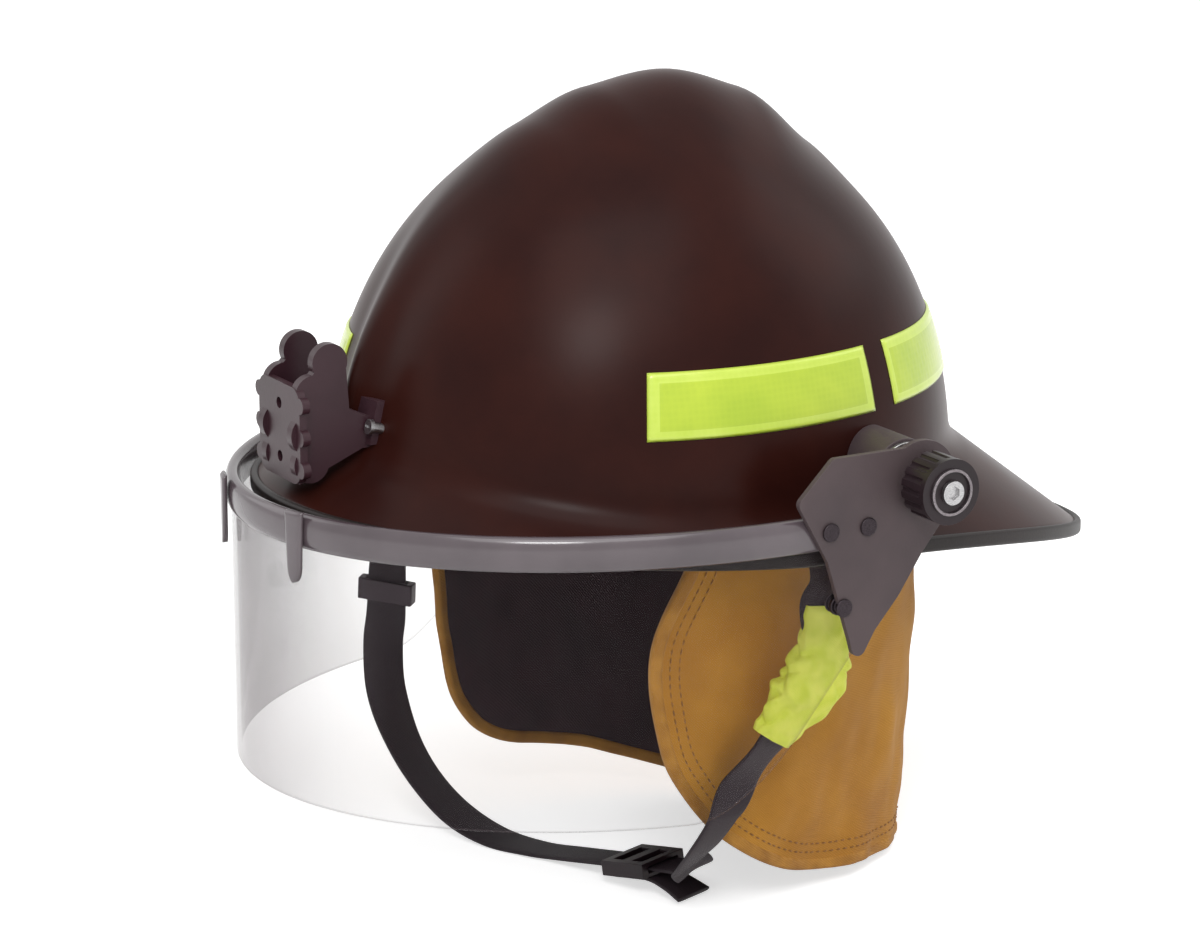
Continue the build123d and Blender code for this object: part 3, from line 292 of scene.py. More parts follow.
class HelmetStage(bpy.types.PropertyGroup):
    """The camera and the light"""
    azimuth: bpy.props.FloatProperty(
        name="Azimuth", description="Camera heading round the helmet",
        default=math.radians(60), subtype="ANGLE")
    elevation: bpy.props.FloatProperty(
        name="Elevation", description="Camera height above the horizon",
        default=math.radians(15), subtype="ANGLE")
    distance: bpy.props.FloatProperty(
        name="Distance", description="Camera distance from the helmet's middle",
        default=1.5, subtype="DISTANCE", unit="LENGTH")
    focal_length: bpy.props.FloatProperty(
        name="Focal length", description="Focal length of the lens in millimetres",
        default=117.0, unit="CAMERA")
    key: bpy.props.FloatProperty(
        name="Key lamp", description="Power of the main lamp", default=13.5, unit="POWER")
    fill: bpy.props.FloatProperty(
        name="Fill", description="Strength of the light from all round", default=0.55)


def size(key):
    """A size setting in millimetres."""
    return getattr(bpy.context.scene.helmet_sizes, key) / MM


# ---------------------------------------------------------------- finishes
def tone(value):
    """A linear colour from a hex code, or from the name of a colour setting."""
    if value.startswith("#"):
        return linear(value)
    return tuple(getattr(bpy.context.scene.helmet_colours, value))


def add_node(tree, kind, settings=None, links=None):
    """Add a node: settings are properties, sockets or a ramp's stops, links join its inputs."""
    made = tree.nodes.new(kind)
    for key, value in (settings or {}).items():
        if key == "stops":
            for element, (position, colour) in zip(made.color_ramp.elements, value):
                element.position = position
                element.color = tone(colour)
        elif isinstance(key, str) and hasattr(made, key) and key not in made.inputs:
            setattr(made, key, value)
        else:
            made.inputs[key].default_value = value
    for key, source in (links or {}).items():
        tree.links.new(source, made.inputs[key])
    return made


def start_material(name):
    """An empty node material and its tree."""
    material = bpy.data.materials.new(name)
    material.use_nodes = True
    material.node_tree.nodes.clear()
    return material, material.node_tree


def place_in_mm(tree, stretch=(1, 1, 1)):
    """Object coordinates in millimetres."""
    coordinates = add_node(tree, "ShaderNodeTexCoord")
    scale = tuple(s / MM for s in stretch)
    mapping = add_node(tree, "ShaderNodeMapping", {"Scale": scale},
                       {"Vector": coordinates.outputs["Object"]})
    return mapping.outputs["Vector"]


def end_material(material, factor, stops, settings, links):
    """Close a finish: its tones, mixed by a pattern, on one Principled surface."""
    tree = material.node_tree
    ramp = add_node(tree, "ShaderNodeValToRGB", {"stops": stops}, {"Fac": factor})
    shader = add_node(tree, "ShaderNodeBsdfPrincipled", settings,
                      {"Base Color": ramp.outputs["Color"], **links})
    add_node(tree, "ShaderNodeOutputMaterial", links={"Surface": shader.outputs[0]})
    return material


def moulded_plastic(name, dark, light, roughness, grain_mm, bump, ior=1.5):
    """Moulded plastic: flow marks about 40 mm long in its colour and gloss, and a skin grain.

    A mould's grain is 0.1 to 0.3 mm wide, too fine to show, so grain_mm draws it coarser."""
    material, tree = start_material(name)
    place = place_in_mm(tree)
    flow = add_node(tree, "ShaderNodeTexNoise", {"Scale": 1 / 40, "Detail": 3.0}, {"Vector": place})
    grain = add_node(tree, "ShaderNodeTexNoise", {"Scale": 1 / grain_mm, "Detail": 2.0},
                     {"Vector": place})
    rough = add_node(tree, "ShaderNodeMapRange",
                     {"To Min": roughness * 0.85, "To Max": roughness * 1.2},
                     {"Value": flow.outputs["Fac"]})
    skin = add_node(tree, "ShaderNodeBump", {"Strength": bump, "Distance": 0.0003},
                    {"Height": grain.outputs["Fac"]})
    return end_material(material, flow.outputs["Fac"], ((0.35, dark), (0.65, light)), {"IOR": ior},
                        {"Roughness": rough.outputs["Result"], "Normal": skin.outputs["Normal"]})


def drawn_steel(name, dark, light, roughness):
    """Pressed and plated steel: drawing marks 0.8 mm apart, where real ones are about 0.1 mm."""
    material, tree = start_material(name)
    place = place_in_mm(tree, (1, 1, 6))
    marks = add_node(tree, "ShaderNodeTexNoise", {"Scale": 1.2, "Detail": 4.0}, {"Vector": place})
    rough = add_node(tree, "ShaderNodeMapRange", {"To Min": roughness, "To Max": roughness + 0.2},
                     {"Value": marks.outputs["Fac"]})
    return end_material(material, marks.outputs["Fac"], ((0.35, dark), (0.65, light)),
                        {"Metallic": 1.0}, {"Roughness": rough.outputs["Result"]})


def woven_cloth(name, dark, light, thread_mm, roughness, bump, sheen, patch_mm=22.0):
    """Woven cloth: crossing threads in its bump, and soft patches of wear in its colour.

    Real threads lie 0.3 to 0.5 mm apart, and thread_mm draws most of them coarser, to show."""
    material, tree = start_material(name)
    place = place_in_mm(tree)
    waves = [add_node(tree, "ShaderNodeTexWave",
                      {"bands_direction": way, "Scale": 1 / (thread_mm * 2), "Distortion": 0.6},
                      {"Vector": place}) for way in ("Z", "DIAGONAL")]
    threads = add_node(tree, "ShaderNodeMath", {"operation": "MULTIPLY"},
                       {0: waves[0].outputs["Fac"], 1: waves[1].outputs["Fac"]})
    patches = add_node(tree, "ShaderNodeTexNoise", {"Scale": 1 / patch_mm, "Detail": 4.0},
                       {"Vector": place})
    both = add_node(tree, "ShaderNodeMath", {"operation": "MULTIPLY_ADD", 1: 0.25},
                    {0: threads.outputs[0], 2: patches.outputs["Fac"]})
    skin = add_node(tree, "ShaderNodeBump", {"Strength": bump, "Distance": 0.0004},
                    {"Height": threads.outputs[0]})
    return end_material(material, both.outputs[0], ((0.35, dark), (0.85, light)),
                        {"Roughness": roughness, "Sheen Weight": sheen, "Sheen Roughness": 0.5},
                        {"Normal": skin.outputs["Normal"]})


def webbing(name, dark, light, rib_mm):
    """Woven webbing: ribs across its length and cords along it, from the strip's own UV.

    Real ribs are 0.7 mm apart, and rib_mm draws them coarser, to show."""
    material, tree = start_material(name)
    along = add_node(tree, "ShaderNodeTexCoord")
    place = add_node(tree, "ShaderNodeMapping", {"Scale": (1 / MM, 1 / MM, 1)},
                     {"Vector": along.outputs["UV"]})
    ribs = add_node(tree, "ShaderNodeTexWave",
                    {"bands_direction": "X", "Scale": 1 / (rib_mm * 2), "Distortion": 0.3},
                    {"Vector": place.outputs["Vector"]})
    cords = add_node(tree, "ShaderNodeTexWave", {"bands_direction": "Y", "Scale": 0.5 / rib_mm},
                     {"Vector": place.outputs["Vector"]})
    weave = add_node(tree, "ShaderNodeMath", {"operation": "MULTIPLY_ADD", 1: 0.6},
                     {0: cords.outputs["Fac"], 2: ribs.outputs["Fac"]})
    skin = add_node(tree, "ShaderNodeBump", {"Strength": 0.6, "Distance": 0.0004},
                    {"Height": weave.outputs[0]})
    return end_material(material, weave.outputs[0], ((0.1, dark), (1.0, light)),
                        {"Roughness": 0.6, "IOR": 1.4}, {"Normal": skin.outputs["Normal"]})


def prismatic_tape(name, dark, light, cell_bump):
    """Retroreflective tape: cells under a clear glossy film. Real cells are 0.2 mm, drawn 2.4."""
    material, tree = start_material(name)
    place = place_in_mm(tree)
    cells = add_node(tree, "ShaderNodeTexVoronoi", {"Scale": 1 / 2.4, "Randomness": 0.15},
                     {"Vector": place})
    cloud = add_node(tree, "ShaderNodeTexNoise", {"Scale": 1 / 26, "Detail": 2.0},
                     {"Vector": place})
    mixed = add_node(tree, "ShaderNodeMath", {"operation": "MULTIPLY_ADD", 1: 0.18},
                     {0: cells.outputs["Distance"], 2: cloud.outputs["Fac"]})
    skin = add_node(tree, "ShaderNodeBump", {"Strength": cell_bump, "Distance": 0.0003},
                    {"Height": cells.outputs["Distance"]})
    return end_material(material, mixed.outputs[0], ((0.3, dark), (0.8, light)),
                        {"Roughness": 0.32, "Coat Weight": 0.6, "Coat Roughness": 0.08},
                        {"Normal": skin.outputs["Normal"]})


def clear_sheet(name, dark, light):
    """Clear formed sheet: nearly invisible face on, shiny at a glancing view, where its grey colour
    is shown more as a painted reflection.
    """
    material, tree = start_material(name)
    place = place_in_mm(tree)
    haze = add_node(tree, "ShaderNodeTexNoise", {"Scale": 1 / 60, "Detail": 2.0}, {"Vector": place})
    rough = add_node(tree, "ShaderNodeMapRange", {"To Min": 0.03, "To Max": 0.07},
                     {"Value": haze.outputs["Fac"]})
    # painted reflection: towards a glancing view the sheet turns opaque and shows its grey colour
    glance = add_node(tree, "ShaderNodeLayerWeight", {"Blend": 0.5})
    cover = add_node(tree, "ShaderNodeMapRange",
                     {"From Min": 0.15, "From Max": 1.0, "To Min": 0.02, "To Max": 0.62},
                     {"Value": glance.outputs["Facing"]})
    return end_material(material, haze.outputs["Fac"], ((0.35, dark), (0.65, light)),
                        {"IOR": 1.585}, {"Roughness": rough.outputs["Result"],
                                         "Alpha": cover.outputs["Result"]})


def moulded_foam(name, dark, light):
    """Moulded foam: dull, with open cells. Real cells are 0.5 mm, drawn 2.2."""
    material, tree = start_material(name)
    cells = add_node(tree, "ShaderNodeTexVoronoi", {"Scale": 1 / 2.2},
                     {"Vector": place_in_mm(tree)})
    skin = add_node(tree, "ShaderNodeBump", {"Strength": 0.5, "Distance": 0.0006},
                    {"Height": cells.outputs["Distance"]})
    return end_material(material, cells.outputs["Distance"], ((0.0, dark), (0.9, light)),
                        {"Roughness": 0.9}, {"Normal": skin.outputs["Normal"]})


# slot or look: maker, material, darker and lighter colour, then the maker's own values
FINISHES = {
    # glossy moulded polycarbonate: deep oxblood that goes nearly black, with soft wide lights
    "shell_thermoplastic": (moulded_plastic, "polycarbonate_moulded_gloss",
                            "shell_dark", "shell_light", 0.30, 3.0, 0.05, 1.2),
    # extruded rubber: a dull black line round the brim
    "edge_rubber": (moulded_plastic, "rubber_extruded",
                    "#17110f", "#221a19", 0.45, 0.8, 0.25, 1.35),
    # urethane foam: dull dark cells that swallow light
    "liner_foam": (moulded_foam, "urethane_foam_moulded", "#1b1b1d", "#343436"),
    # polyester webbing: a dark band with a rib that catches light
    "crown_webbing": (webbing, "polyester_webbing_woven", "#1d1d20", "#3a3a3f", 1.6),
    # knitted cotton: soft, dark, with a pale bloom at a glancing view
    "pad_cloth": (woven_cloth, "cotton_knit", "#1c1c20", "#33333a", 0.8, 0.85, 0.5, 0.3),
    # moulded nylon: smooth black with a low gloss
    "band_plastic": (moulded_plastic, "nylon_moulded", "#151214", "#201c1f", 0.42, 1.2, 0.15, 1.4),
    # moulded acetal: slick near black with a clear light on each rib
    "knob_plastic": (moulded_plastic, "acetal_moulded", "#1c1216", "#2b1e23", 0.36, 1.0, 0.12, 1.4),
    # glossy moulded nylon: dark plum with sharp lights on its edges
    "holder_plastic": (moulded_plastic, "nylon_moulded_gloss",
                       "#2a151b", "#3d262d", 0.32, 1.5, 0.10, 1.4),
    # zinc plated steel: bright and grey
    "steel": (drawn_steel, "steel_zinc_plated", "#9b9a9c", "#c9c8c8", 0.22),
    # satin plated steel: a softer grey ring
    "ring_steel": (drawn_steel, "steel_satin_plated", "#6c6568", "#9a9396", 0.35),
    # black oxide steel: dark heads that hardly show
    "black_steel": (drawn_steel, "steel_black_oxide", "#2c2629", "#4a4347", 0.34),
    # glossy moulded polypropylene: warm grey with a long light along the bar
    "frame_plastic": (moulded_plastic, "polypropylene_moulded_gloss",
                      "bar_dark", "bar_light", 0.16, 2.0, 0.06, 1.7),
    # formed polycarbonate sheet: clear, with grey glancing sides that are a painted reflection
    "clear_polycarbonate": (clear_sheet, "polycarbonate_clear_sheet", "#6f6468", "#8d8286"),
    # matte moulded nylon: flat grey brown with a fine grain
    "plate_plastic": (moulded_plastic, "nylon_moulded_matte",
                      "plate_dark", "plate_light", 0.55, 1.2, 0.25),
    # aramid twill: golden tan with broad patches of wear
    "flap_cloth": (woven_cloth, "aramid_twill_woven",
                   "flap_dark", "flap_light", 0.9, 0.8, 0.45, 0.1, 40.0),
    # knitted aramid: black with no sheen
    "lining_cloth": (woven_cloth, "aramid_knit_lining",
                     "lining_dark", "lining_light", 1.0, 0.95, 0.35, 0.0),
    # woven aramid tape: tan with short dark and light stretches
    "binding_tape": (woven_cloth, "aramid_tape_woven",
                     "#a06a1b", "#cf9438", 0.8, 0.75, 0.5, 0.1, 9.0),
    # nylon webbing: near black with fine ribs
    "chin_webbing": (webbing, "nylon_webbing_woven", "strap_dark", "strap_light", 0.9),
    # woven polyester: bright lime with soft shadows in its creases
    "lime_cloth": (woven_cloth, "polyester_woven_lime",
                   "sleeve_dark", "sleeve_light", 0.8, 0.6, 0.30, 0.0, 7.0),
    # prismatic tape: lime cells under a glossy film
    "lime_reflective": (prismatic_tape, "prismatic_tape_lime", "tape_dark", "tape_light", 0.25),
    # the same tape's sealed edge: paler and nearly smooth
    "lime_border": (prismatic_tape, "prismatic_tape_edge", "#c4e03a", "#d9ee62", 0.05),
    # spun aramid thread: darker than the cloth it holds
    "thread": (woven_cloth, "aramid_thread_spun", "#7c4f16", "#a9742c", 0.3, 0.8, 0.3, 0.2, 5.0),
}
MADE = {}


def finish(slot):
    """The slot's material, made at its first use."""
    if slot not in MADE:
        maker, *values = FINISHES[slot]
        MADE[slot] = maker(*values)
    return MADE[slot]


# ---------------------------------------------------------------- mesh helpers
def add_piece(name, body, slot, mesh, node=None, look=None):
    """A smooth mesh object that rides on a body, has a finish and stands for a CAD node."""
    piece = bpy.data.objects.new(name, mesh)
    bpy.context.scene.collection.objects.link(piece)
    mesh.materials.clear()
    mesh.materials.append(finish(look or slot))
    for polygon in mesh.polygons:
        polygon.use_smooth = True
    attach(piece, body)
    if node:
        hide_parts(node)
    return piece


def tidy_mesh(mesh):
    """Merge doubled points and turn every face outward."""
    work = bmesh.new()
    work.from_mesh(mesh)
    bmesh.ops.remove_doubles(work, verts=work.verts, dist=1e-6)
    bmesh.ops.recalc_face_normals(work, faces=work.faces)
    work.to_mesh(mesh)
    work.free()
    return mesh


def grid_mesh(name, rows, close_row=False, close_rows=False, cap=False):
    """Mesh from rows of points in millimetres, all rows of one length."""
    mesh = bpy.data.meshes.new(name)
    width = len(rows[0])
    points = [tuple(c * MM for c in point) for row in rows for point in row]
    faces = []
    for i in range(len(rows) if close_rows else len(rows) - 1):
        for j in range(width if close_row else width - 1):
            across = (j + 1) % width
            below = ((i + 1) % len(rows)) * width
            faces.append((i * width + j, i * width + across, below + across, below + j))
    if cap:
        faces.append(tuple(range(width - 1, -1, -1)))
        faces.append(tuple((len(rows) - 1) * width + j for j in range(width)))
    mesh.from_pydata(points, [], faces)
    return tidy_mesh(mesh)


def joined_tubes(name, tubes):
    """One mesh of several closed tubes, each given as rows of points."""
    work = bmesh.new()
    for rows in tubes:
        part = grid_mesh(name, rows, close_row=True, cap=True)
        work.from_mesh(part)
        bpy.data.meshes.remove(part)
    mesh = bpy.data.meshes.new(name)
    work.to_mesh(mesh)
    work.free()
    return mesh


def catmull(points, share):
    """Point on the smooth curve through points, share from 0 to 1."""
    last = len(points) - 1
    place = min(max(share, 0.0), 1.0) * last
    i = min(int(place), last - 1)
    t = place - i
    p0, p1, p2, p3 = (Vector(points[min(max(k, 0), last)]) for k in range(i - 1, i + 3))
    return 0.5 * ((2 * p1) + (p2 - p0) * t + (2 * p0 - 5 * p1 + 4 * p2 - p3) * t * t
                  + (3 * p1 - p0 - 3 * p2 + p3) * t ** 3)


def circle(count):
    """Cosine and sine of equal turns."""
    for i in range(count):
        turn = 2 * math.pi * i / count
        yield math.cos(turn), math.sin(turn)


def rounded_section(half_width, half_height, radius, steps=4):
    """Points round a rectangle with round corners."""
    points = []
    for k, (sx, sy) in enumerate(((1, 1), (-1, 1), (-1, -1), (1, -1))):
        for i in range(steps + 1):
            turn = math.pi / 2 * (k + i / steps)
            points.append((sx * (half_width - radius) + radius * math.cos(turn),
                           sy * (half_height - radius) + radius * math.sin(turn)))
    return points


def softened(node, slot, width=0.4, segments=2, look=None):
    """A copy of a CAD node with its edges rounded, which then stands for the node."""
    source = frame["nodes"][node]
    mesh = source.data.copy()
    work = bmesh.new()
    work.from_mesh(mesh)
    bmesh.ops.remove_doubles(work, verts=work.verts, dist=2e-6)
    bmesh.ops.dissolve_limit(work, angle_limit=math.radians(1.0), verts=work.verts,
                             edges=work.edges)
    work.to_mesh(mesh)
    work.free()
    piece = add_piece(node + "_finish", body_of(source)[0], slot, mesh, node, look)
    bevel = piece.modifiers.new("edges", "BEVEL")
    bevel.width = width * MM
    bevel.segments = segments
    bevel.limit_method = "ANGLE"
    bevel.angle_limit = math.radians(35)
    bevel.use_clamp_overlap = True
    piece.modifiers.new("normals", "WEIGHTED_NORMAL").keep_sharp = True
    mesh.set_sharp_from_angle(angle=math.radians(50))
    return piece


def thicken(piece, millimetres, offset):
    """Give a sheet its thickness."""
    solid = piece.modifiers.new("thickness", "SOLIDIFY")
    solid.thickness = millimetres * MM
    solid.offset = offset


def ribbon_frame(points, acrosses, share, step):
    """Place on a route, with the directions across it and off it."""
    here = catmull(points, share)
    ahead, behind = catmull(points, min(share + step, 1)), catmull(points, max(share - step, 0))
    along = (ahead - behind).normalized()
    wide = catmull(acrosses, share)
    wide = (wide - along * wide.dot(along)).normalized()
    return here, wide, along.cross(wide)


def ribbon_piece(name, body, slot, route, thickness, steps, ripple, node=None):
    """Webbing along a smooth route: each stop a point, the direction of its width, its width."""
    points, acrosses, widths = zip(*((point, across, (width, 0, 0))
                                     for point, across, width in route))
    section = rounded_section(1.0, 1.0, 0.45, 3)
    rows, travelled = [], [0.0]
    before = Vector(points[0])
    for i in range(steps + 1):
        here, wide, up = ribbon_frame(points, acrosses, i / steps, 0.004)
        width = catmull(widths, i / steps).x
        sway = ripple * noise.noise(here * 0.05)
        travelled.append(travelled[-1] + (here - before).length)
        before = here
        rows.append([here + wide * (x * width / 2)
                     + up * (y * thickness / 2 + sway * (1 - x * x)) for x, y in section])
    mesh = grid_mesh(name, rows, close_row=True, cap=True)
    layer = mesh.uv_layers.new(name="along")
    for loop in mesh.loops:
        row, column = divmod(loop.vertex_index, len(section))
        layer.data[loop.index].uv = (travelled[row + 1] * MM, section[column][0] * 8 * MM)
    return add_piece(name, body, slot, mesh, node)


# ---------------------------------------------------------------- shell
def blend_profile(table, value):
    """Value between a table's stops, eased at each stop."""
    for (a, low), (b, high) in zip(table, table[1:]):
        if value <= b:
            t = (value - a) / (b - a)
            t = t * t * (3 - 2 * t)
            return low + (high - low) * t
    return table[-1][1]


def dome_point(heading, rise, offset=0.0, crest=True):
    """Point on the dome at a compass heading and a rise above its base, both in radians."""
    dx = math.cos(heading) * math.cos(rise)
    dy = math.sin(heading) * math.cos(rise)
    dz = math.sin(rise)
    flat = math.hypot(dx / DOME_HALF_WIDTH, dy / DOME_HALF_LENGTH) ** DOME_FULLNESS
    tall = abs(dz / DOME_HEIGHT) ** DOME_FULLNESS
    radius = (flat + tall) ** (-1 / DOME_FULLNESS)
    if crest:
        angle = math.degrees(math.atan2(max(dz, 0.0), -dy))
        spread = math.sin(math.radians(min(angle, 150))) ** 6
        width = CREST_WIDTH_FRONT + (CREST_WIDTH_CROWN - CREST_WIDTH_FRONT) * spread
        height = CREST_HEIGHT * blend_profile(CREST_PROFILE, angle)
        radius += height * math.exp(-((radius * dx / width) ** 2))
    radius += offset
    return Vector((radius * dx, radius * dy, DOME_BASE_Z + radius * dz))


def rise_at(heading, z, offset=0.0, crest=True):
    """Rise at which the dome reaches the height z."""
    low, high = -0.3, 1.5
    for _ in range(26):
        middle = (low + high) / 2
        if dome_point(heading, middle, offset, crest).z > z:
            high = middle
        else:
            low = middle
    return (low + high) / 2


def plain_dome(heading, z, offset=0.0):
    """Point on the dome without its crest, at a height."""
    return dome_point(heading, rise_at(heading, z, offset, False), offset, False)


def brim_edge(heading, outward=0.0, drop=0.0):
    """Point on the brim's edge."""
    reach_y = BRIM_REAR if math.sin(heading) > 0 else BRIM_FRONT
    turn = math.atan2(math.sin(heading) / reach_y, math.cos(heading) / BRIM_HALF_WIDTH)
    x = BRIM_HALF_WIDTH * math.cos(turn)
    y = reach_y * math.sin(turn)
    fall = BRIM_REAR_FALL * y + BRIM_REAR_CURVE * y * y if y > 0 else BRIM_FRONT_RISE * y
    length = math.hypot(x, y)
    return Vector((x + outward * x / length, y + outward * y / length,
                   BRIM_EDGE_SIDE_Z - fall - drop))


def brim_root_z(heading):
    """Height at which the brim leaves the dome."""
    edge = brim_edge(heading)
    far = (edge.y / (BRIM_REAR if edge.y > 0 else BRIM_FRONT)) ** 2
    far_z = BRIM_ROOT_REAR_Z if edge.y > 0 else BRIM_ROOT_FRONT_Z
    return BRIM_ROOT_SIDE_Z + (far_z - BRIM_ROOT_SIDE_Z) * far


def shell_column(heading):
    """Points from the crown, down outside, round the brim and up inside to the crown."""
    root_z = brim_root_z(heading)
    start = rise_at(heading, root_z + BRIM_FILLET)
    column = [dome_point(heading, math.pi / 2 - (math.pi / 2 - start) * i / DOME_STEPS)
              for i in range(1, DOME_STEPS + 1)]
    dome_end = column[-1]
    corner = plain_dome(heading, root_z)
    edge = brim_edge(heading)
    out = edge - corner
    landing = corner + out * min(BRIM_FILLET / out.length, 0.5)
    for i in range(1, FILLET_STEPS + 1):
        t = i / FILLET_STEPS
        column.append(dome_end * (1 - t) ** 2 + corner * 2 * t * (1 - t) + landing * t * t)
    for t in (0.2, 0.4, 0.6, 0.8, 0.93, 0.985):
        column.append(landing + (edge - landing) * t)
    inward = -out.normalized()
    half = BRIM_THICKNESS / 2
    for turn in (30, 60, 90, 120, 150):
        angle = math.radians(turn)
        middle = edge + inward * SHELL_CORNER - Vector((0, 0, half))
        column.append(middle - inward * SHELL_CORNER * math.sin(angle)
                      + Vector((0, 0, half * math.cos(angle))))
    under_root = plain_dome(heading, root_z - BRIM_THICKNESS)
    under_edge = edge + inward - Vector((0, 0, BRIM_THICKNESS))
    for t in (0.02, 0.3, 0.6, 0.97):
        column.append(under_edge + (under_root - under_edge) * t)
    column.append(plain_dome(heading, WALL_BOTTOM_Z + SHELL_CORNER))
    column.append(plain_dome(heading, WALL_BOTTOM_Z, -SHELL_CORNER))
    column.append(plain_dome(heading, WALL_BOTTOM_Z, SHELL_CORNER - SHELL_WALL))
    low = rise_at(heading, WALL_BOTTOM_Z + SHELL_CORNER, -SHELL_WALL)
    for i in range(INSIDE_STEPS):
        rise = low + (math.pi / 2 - low) * i / INSIDE_STEPS
        column.append(dome_point(heading, rise, -SHELL_WALL))
    return column


def gathered_headings():
    """Headings all round, closer together at the crest."""
    turns = [2 * math.pi * i / SHELL_COLUMNS for i in range(SHELL_COLUMNS)]
    return [turn + 0.30 * math.sin(2 * turn) for turn in turns]


def strip_piece(node, start, end):
    """Curved patch from one heading to another: a raised centre panel inside a paler border."""
    ends = plain_dome(start, STRIP_MIDDLE_Z) - plain_dome(end, STRIP_MIDDLE_Z)
    length = ends.length * 1.02
    height = STRIP_HIGH_Z - STRIP_LOW_Z
    groove_from, groove_to, groove_depth = STRIP_GROOVE
    rows = []
    for i in range(STRIP_ROWS + 1):
        row = []
        for j in range(STRIP_COLUMNS + 1):
            heading = start + (end - start) * j / STRIP_COLUMNS
            inset = min(min(i, STRIP_ROWS - i) * height / STRIP_ROWS,
                        min(j, STRIP_COLUMNS - j) * length / STRIP_COLUMNS)
            lift = size("strip_lift") * min(1.0, 0.3 + inset / 0.8)
            lift -= groove_depth if groove_from < inset < groove_to else 0.0
            row.append(plain_dome(heading, STRIP_LOW_Z + height * i / STRIP_ROWS, lift))
        rows.append(row)
    mesh = grid_mesh(node + "_tape", rows)
    piece = add_piece(node + "_tape", "helmet", "lime_reflective", mesh, node)
    mesh.materials.append(finish("lime_border"))
    for index, polygon in enumerate(mesh.polygons):
        i, j = divmod(index, STRIP_COLUMNS)
        inset = min(min(i, STRIP_ROWS - 1 - i) * height / STRIP_ROWS,
                    min(j, STRIP_COLUMNS - 1 - j) * length / STRIP_COLUMNS)
        polygon.material_index = 1 if inset < size("strip_border") else 0
    thicken(piece, 0.5, -1.0)


def side_heading(y):
    """Heading of the plain dome's side at a distance back, at the strips' middle height."""
    tall = ((STRIP_MIDDLE_Z - DOME_BASE_Z) / DOME_HEIGHT) ** DOME_FULLNESS
    scale = (1 - tall) ** (1 / DOME_FULLNESS)
    x = DOME_HALF_WIDTH * scale * math.sqrt(1 - (y / (DOME_HALF_LENGTH * scale)) ** 2)
    return math.atan2(y, x)


class HELMET_OT_shell(bpy.types.Operator):
    """Build the shell with its crest and brim, as one closed wall"""
    bl_idname = "helmet.shell"
    bl_label = "Shell"

    def execute(self, context):
        columns = [shell_column(heading) for heading in gathered_headings()]
        top = dome_point(0.0, math.pi / 2)
        under = dome_point(0.0, math.pi / 2, -SHELL_WALL)
        rows = [[top] * len(columns), *(list(row) for row in zip(*columns)),
                [under] * len(columns)]
        add_piece("shell_moulding", "helmet", "shell_thermoplastic",
                  grid_mesh("shell_moulding", rows, close_row=True), "shell")
        return {"FINISHED"}


class HELMET_OT_edge(bpy.types.Operator):
    """Build the rolled rubber edging round the brim"""
    bl_idname = "helmet.edge"
    bl_label = "Brim edging"

    def execute(self, context):
        section = rounded_section(size("bead_width") / 2, size("bead_height") / 2, 1.5, 5)
        rows = []
        for heading in gathered_headings():
            edge = brim_edge(heading, 0.6, BRIM_THICKNESS / 2)
            out = Vector((math.cos(heading), math.sin(heading), 0))
            rows.append([edge + out * x + Vector((0, 0, y)) for x, y in section])
        add_piece("brim_edge_bead", "helmet", "edge_rubber",
                  grid_mesh("brim_edge_bead", rows, close_row=True, close_rows=True),
                  "brim_edge_trim")
        return {"FINISHED"}


class HELMET_OT_strips(bpy.types.Operator):
    """Build the five reflective strips"""
    bl_idname = "helmet.strips"
    bl_label = "Reflective strips"

    def execute(self, context):
        front, back = (side_heading(y) for y in SIDE_STRIP_Y)
        start, end = REAR_STRIP_START, REAR_STRIP_START + REAR_STRIP_SPAN
        strip_piece("trim_side_left", front, back)
        strip_piece("trim_side_right", math.pi - back, math.pi - front)
        strip_piece("trim_rear_left", start, end)
        strip_piece("trim_rear_right", math.pi - end, math.pi - start)
        strip_piece("trim_front_right", *FRONT_STRIP)
        return {"FINISHED"}


class HELMET_OT_holder(bpy.types.Operator):
    """Build the badge holder and its screws"""
    bl_idname = "helmet.holder"
    bl_label = "Badge holder"

    def execute(self, context):
        softened("badge_holder", "holder_plastic", 1.3, 3)
        softened("holder_screws", "steel")
        return {"FINISHED"}


# ---------------------------------------------------------------- face shield
def shield_point(travel, inset, z):
    """Point on the shield's plan: travel 0 to 1 is the front half ellipse, beyond are the arms."""
    half_width = SHIELD_HALF_WIDTH - inset
    if travel < 0:
        return Vector((half_width, -travel * FRAME_REACH_Y, z))
    if travel > 1:
        return Vector((-half_width, (travel - 1) * FRAME_REACH_Y, z))
    turn = math.pi * travel
    return Vector((half_width * math.cos(turn), -(SHIELD_FRONT - inset) * math.sin(turn), z))


def lens_bottom(y):
    """Height of the lens's lower edge, its corners eased by a mean over 18 mm."""
    total = 0.0
    for k in range(-6, 7):
        at = y + k * 1.5
        if at <= LENS_EDGE[2][0]:
            total += LENS_EDGE[2][1]
            continue
        for (ya, za), (yb, zb) in zip(LENS_EDGE, LENS_EDGE[1:]):
            if yb <= at <= ya or (at > ya and ya == LENS_EDGE[0][0]):
                total += za + (zb - za) * min((ya - at) / (ya - yb), 1.0)
                break
    return total / 13


